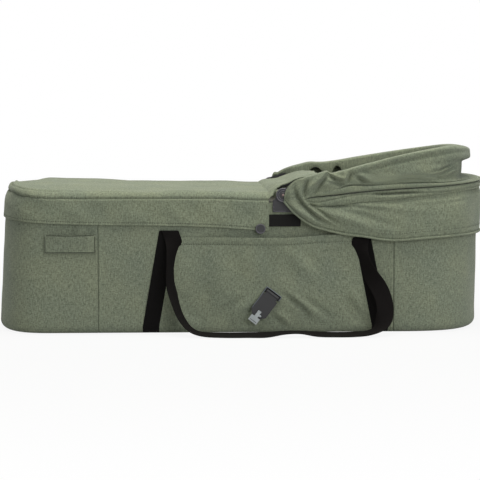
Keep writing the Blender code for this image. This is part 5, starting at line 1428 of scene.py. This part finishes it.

# %% [markdown]
# The front panel hangs from the front bow as a band with a turned-in top. Towards the hinge it
# is crumpled in V-shaped folds, and its upper edge sweeps down to the gathered corner. Its
# lower edge belongs to the middle bow and its top to the front bow; its threads are spread like
# the back panel's.

# %% Hood front panel
FRONT_FOLDS = (
    ([(139.3, 270), (143.5, 261.5), (151.2, 256.8), (162, 255)], 3.0, -5.4),
    ([(146, 270), (153, 262), (166, 259)], 3.0, 3.0),
    ([(128, 244), (140, 253), (146, 258)], 5.0, 3.0),
    ([(136, 253.6), (148.6, 251.3), (161.4, 248.6), (172, 247)], 2.4, -4.0),
    ([(177, 272), (174.6, 261), (170.3, 250)], 2.6, -4.8),
    ([(169, 270), (166.6, 261), (163, 252)], 3.0, 3.0),
    ([(181, 266), (190.7, 258.6), (199.6, 252), (210, 249)], 2.8, -4.4),
    ([(186, 271), (198, 261), (212, 254)], 3.2, 2.8),
    ([(192, 276), (206, 268), (226, 262)], 4.0, -1.8),
    ([(306, 269), (323.5, 272.5), (339.5, 278.0), (366, 284)], 2.4, -4.0),
    ([(306, 266), (325, 270), (344, 276.6), (366, 283)], 2.2, 2.4),
    ([(308, 264), (326.8, 267.3), (349.1, 275.2), (366, 281)], 2.2, -3.0),
    ([(318, 262), (334, 251)], 2.8, -4.0),
    ([(326, 255), (342, 261), (364, 269)], 3.2, -3.0),
    ([(250, 254), (285, 256), (322, 253)], 2.6, -3.4),
    ([(330, 258), (350, 268), (372, 274)], 4.0, 2.0),
    ([(206, 276), (224, 270), (262, 268)], 5.0, -1.2),
    ([(230, 262), (290, 272), (350, 276)], 8.0, 1.4),
    ([(210, 251), (260, 253), (330, 254)], 4.5, 1.4),
)


def front_panel_grid():
    """Rows from the tucked lower edge, round the crease, up the band, over the bow and down its
    inside."""
    run, x = hood_run, hood_x
    low, high = curve_through(x, *BAND), hood_top(run)
    reach = hood_reach(run) - head_pull(run)
    start, layered = ease((x - 66) / 10), ease((x - 148) / 18)
    shares = np.concatenate([np.zeros(3), [0.01, 0.03, 0.06], np.linspace(0.1, 1.0, 46)])[:, None]
    tuck, dip = np.zeros((2, len(shares), 1))
    tuck[:6, 0] = [-9.0, -6.0, -3.2, -1.6, -0.6, -0.1]
    dip[:4, 0] = [4.2, 2.2, 0.8, 0.2]
    foot = low + 0.8 * layered - 2.0 * start * (1 - layered)
    z = foot + (high - foot) * shares - dip * layered
    corner = folds(x, z, CORNER_FOLDS) * (1 - ease((x - 145) / 20))
    body = 1.3 * folds(x, z, FRONT_FOLDS) + 1.0 * uneven(run, z, 70, 91) * ease((x - 90) / 30)
    end = ease(hood_head) ** 2
    quiet = ease(shares / 0.15) * (1 - 0.75 * ease((shares - 0.85) / 0.15))
    ridge = 1.4 * bell(high - z - 2.0, 4.0) - 3.2 * bell(high - z - 10.5, 2.8) * ease((x - 170) / 30)
    pull = -18.5 + 15.0 * np.exp(-((z - high + 11.5) / 12.0) ** 6)
    deep = 0.65 + 0.45 * uneven(run, 0, 80, 92) + 0.3 * end
    out = reach + start * (1.6 * np.sin(np.pi * np.clip(shares, 0, 1)) + body * quiet + corner)
    out = out + tuck * deep * layered + 0.35 * start * (1 - layered)
    out = out + (1 - end) * ridge * ease((x - 80) / 20) + pull * end * ease(shares / 0.05)
    band = around(run, z, out)
    share = np.linspace(0, 1, 13)[1:, None]
    width = 2.0 + 18.5 * ease((x - 84) / 26) - 5.5 * end
    over = around(run, high + 1.5 * np.sin(np.pi * share) - 0.8 * share, out[-1] - width * share)
    drop = np.linspace(0, 1, 9)[1:, None]
    short = sum(np.clip(1 - ((x - place) / half) ** 2, 0, 1) ** 0.8
                for place, half in ((149, 17), (189, 11)))
    length = 4.0 + 22.0 * ease((x - 80) / 40) * (1 - 0.82 * short * hood_far)
    inner = out[-1] - width - 0.8 * np.sin(np.pi * drop) * start
    return np.concatenate([band, over, around(run, high - 0.8 - drop * length, inner)])


front_points = front_panel_grid()
front_uv = spread_uv(front_points, FRONT_START, FRONT_RISE)
hood_front = shell("hood_front_cloth", front_points, 1.4, uv=front_uv, sharp=75)
dress(hood_front, hood_cloth, None, ["hood_front_panel"])
blend_across(hood_front)
print("hood front panel:", len(hood_front.data.polygons))

# %% [markdown]
# Inside, a quilted lining covers the walls below the rim and a mattress lies on the board. Only
# the open head end shows them.

# %% Lining and mattress
MATTRESS_OUT = -13.5
LINING_LOW, LINING_TOP = 14.0, 208.6


def lining_grid():
    """The lining's inner face: diamonds of quilting, whose lines are the zeros of two slanted sine
    waves."""
    run, z = np.meshgrid(np.linspace(-HALF_TAPE, HALF_TAPE, 421)[::-1],
                         np.linspace(LINING_LOW, LINING_TOP, 44))
    quilt = np.abs(np.sin((run + z) * np.pi / 70)) ** 0.4 * np.abs(np.sin((run - z) * np.pi / 70)) ** 0.4
    rim = np.minimum(ease((z - LINING_LOW) / 10), ease((LINING_TOP - z) / 6))
    return around(run, z, -5.6 - 2.4 * quilt * rim)


grid = lining_grid()
grid[:, -1] = grid[:, 0]
lining = shell("lining_quilt", grid, 1.0, closed=True)
dress(lining, lining_cloth, "tub", ["lining"])


def mattress_grid():
    """A flat cushion: under face, rounded side and crowned top, each ring drawn in from the
    outline."""
    run, shares = ring_run, np.linspace(0, 1, 22)
    under = drum_skin(run, shares, MATTRESS_OUT, lambda share, x: 7.8 + 0 * x)[::-1]
    angle = np.linspace(-np.pi / 2, np.pi / 2, 13)[1:-1]
    sides = [around(run, 0.0, MATTRESS_OUT + 3.2 * math.cos(a))[None] * (1, 1, 0)
             + (0, 0, 23.0 + 14.0 * math.sin(a)) for a in angle]
    top = drum_skin(run, shares, MATTRESS_OUT, lambda share, x: 37.6 + 1.9 * (1 - (1 - share) ** 5) + 0 * x)
    waves = np.abs(np.sin(top[..., :2] * np.pi / 90)) ** 0.5
    top[..., 2] += 0.9 * (waves[..., 0] * waves[..., 1] - 1) * ease(shares * 6)[:, None]
    return np.concatenate([under, *sides, top])


grid = mattress_grid()
mattress = grid_piece("mattress_cushion", grid, grid[..., :2] * MM, 60)
dress(mattress, lining_cloth, "tub", ["mattress"])
print("mattress:", len(mattress.data.polygons))

# %% [markdown]
# The hard parts keep their CAD shape: frame tubes, hinge plates, studs, hook strips, adaptors
# and keys. They only get better finishes.

# %% Finishes for the carried-over solids
FINISHES = {
    "rim_frame": tube_metal, "middle_bow": tube_metal, "front_bow": tube_metal, "base_board": board,
    "hinge_bracket": black_plastic, "middle_leaf": black_plastic, "front_leaf": black_plastic,
    "hinge_rivet": rivet_metal, "stud_cap": black_plastic, "stud_post": black_plastic,
    # The socket's very dark finish is painted shade of its pit.
    "hook_strip": hook_tape, "adaptor_socket": pit_shade_plastic, "adaptor_plate": dark_plastic,
    "release_key": grey_plastic,
}
done = 0
for name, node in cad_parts.items():
    for stem, material in FINISHES.items():
        if name.startswith(stem):
            node.data.materials.clear()
            node.data.materials.append(material)
            done += 1
print("finishes on", done, "solids")

# %% [markdown]
# Small details on the hard parts: three raised rings and a pin on each hinge, a raised line along
# the edge of its bracket, and a rolled rim on each stud. Rings, line and rim are a lighter plastic
# than the parts they sit on, partly their own grey and partly painted sheen.

# %% Hinge rings and stud rims
def ring_piece(name, x, y, z, radius, wire, flat):
    """A closed ring in the plane of the side: a small circle, squeezed by flat, is carried round
    a large one."""
    big, small = np.meshgrid(np.linspace(0, 2 * np.pi, 49), np.linspace(0, 2 * np.pi, 11), indexing="ij")
    grid = np.stack([x + (radius + wire * np.cos(small)) * np.cos(big), y + flat * wire * np.sin(small),
                     z + (radius + wire * np.cos(small)) * np.sin(big)], axis=-1)
    return grid_piece(name, grid, grid_uv(grid), 180)


STUD_X, STUD_Z = 26.6, 175.4
for label, side in SIDES:
    for k, (radius, wire) in enumerate(((10.6, 1.1), (7.4, 0.8), (4.4, 1.0))):
        name = "hinge_ring_%d_%s" % (k + 1, label)
        ring = ring_piece(name, HINGE_X, side * 193.0, HINGE_Z, radius, wire, 0.9)
        dress(ring, rim_sheen_plastic, "hood_front")
    low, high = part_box("hinge_bracket_" + label)
    face = (low[1] if side < 0 else high[1]) / MM + side * 0.2
    left, foot_z = low[0] / MM + 1.6, low[2] / MM + 1.4
    corner = [(left + ahead, face, foot_z + up) for ahead, up in
              ((0.0, 17.0), (0.0, 9.0), (0.0, 2.0), (2.0, 0.0), (10.0, 0.0), (20.0, 0.0))]
    edge = tube("hinge_bracket_edge_" + label, through(corner, 4), 0.6, 8)
    dress(edge, rim_sheen_plastic, "tub")
    pin = ring_piece("hinge_pin_" + label, HINGE_X, side * 194.9, HINGE_Z, 0.9, 0.95, 0.7)
    dress(pin, pin_metal, "tub")
    rim = ring_piece("stud_rim_" + label, STUD_X, side * 191.9, STUD_Z, 7.4, 0.8, 0.8)
    dress(rim, rim_sheen_plastic, "apron")
print("rings done")

# %% [markdown]
# The adaptor hangs in a slot with a moulded rim, whose pale colour is a painted highlight. The
# hook plate has a pale raised line down one edge, which is a painted highlight, and the light key
# has a grip groove across its head, drawn as a dark raised line that is painted shade of the
# groove, and a little nub beside its stem.

# %% Adaptor details
DETAILS = (
    # The slot's rim in pale plastic: a moulded rim with a painted highlight.
    ("adaptor_slot_rim_highlight_", 0.75, 8, 4, edge_highlight_plastic, "tub", "grey_plastic", [
        (-14.6, 12.0, 1.3), (-14.9, 4.0, 1.3), (-15.0, -3.6, 1.2), (-14.2, -4.9, 1.2), (-6.0, -5.2, 1.2),
        (6.0, -5.2, 1.2), (14.2, -4.9, 1.2), (15.0, -3.6, 1.2), (15.0, 3.0, 1.2)]),
    # A pale line down the plate's edge: a painted highlight.
    ("adaptor_plate_edge_highlight_", 0.55, 8, 4, edge_highlight_plastic, "adaptor_", "dark_plastic", [
        (-14.5, 8.0, 1.3), (-14.5, 18.0, 1.3), (-14.5, 28.0, 1.3), (-14.4, 37.4, 1.3)]),
    # The grip groove is a raised line in dark plastic: painted shade of the groove.
    ("release_key_groove_shade_", 0.45, 8, 6, dark_plastic, "key_", "grey_plastic", [
        (-5.8, 54.2, 4.35), (0.0, 54.2, 4.35), (5.8, 54.2, 4.35)]),
    ("release_key_nub_", 1.7, 12, 5, grey_plastic, "key_", "grey_plastic", [
        (2.0, 43.0, 3.0), (5.2, 41.6, 3.0), (6.2, 40.2, 3.0)]),
)
for label, side in SIDES:
    for stem, radius, sides, steps, material, body, slot, places in DETAILS:
        detail = tube(stem + label, through(on_adaptor(side, places), steps), radius, sides)
        dress(detail, material, body if body == "tub" else body + label)
print("adaptor details done")

# %% [markdown]
# The free cloths get no flat sizes here; no pattern was at hand.

# %% Free cloths
print("no flat sizes given")

# %% Finish
bpy.context.view_layer.update()
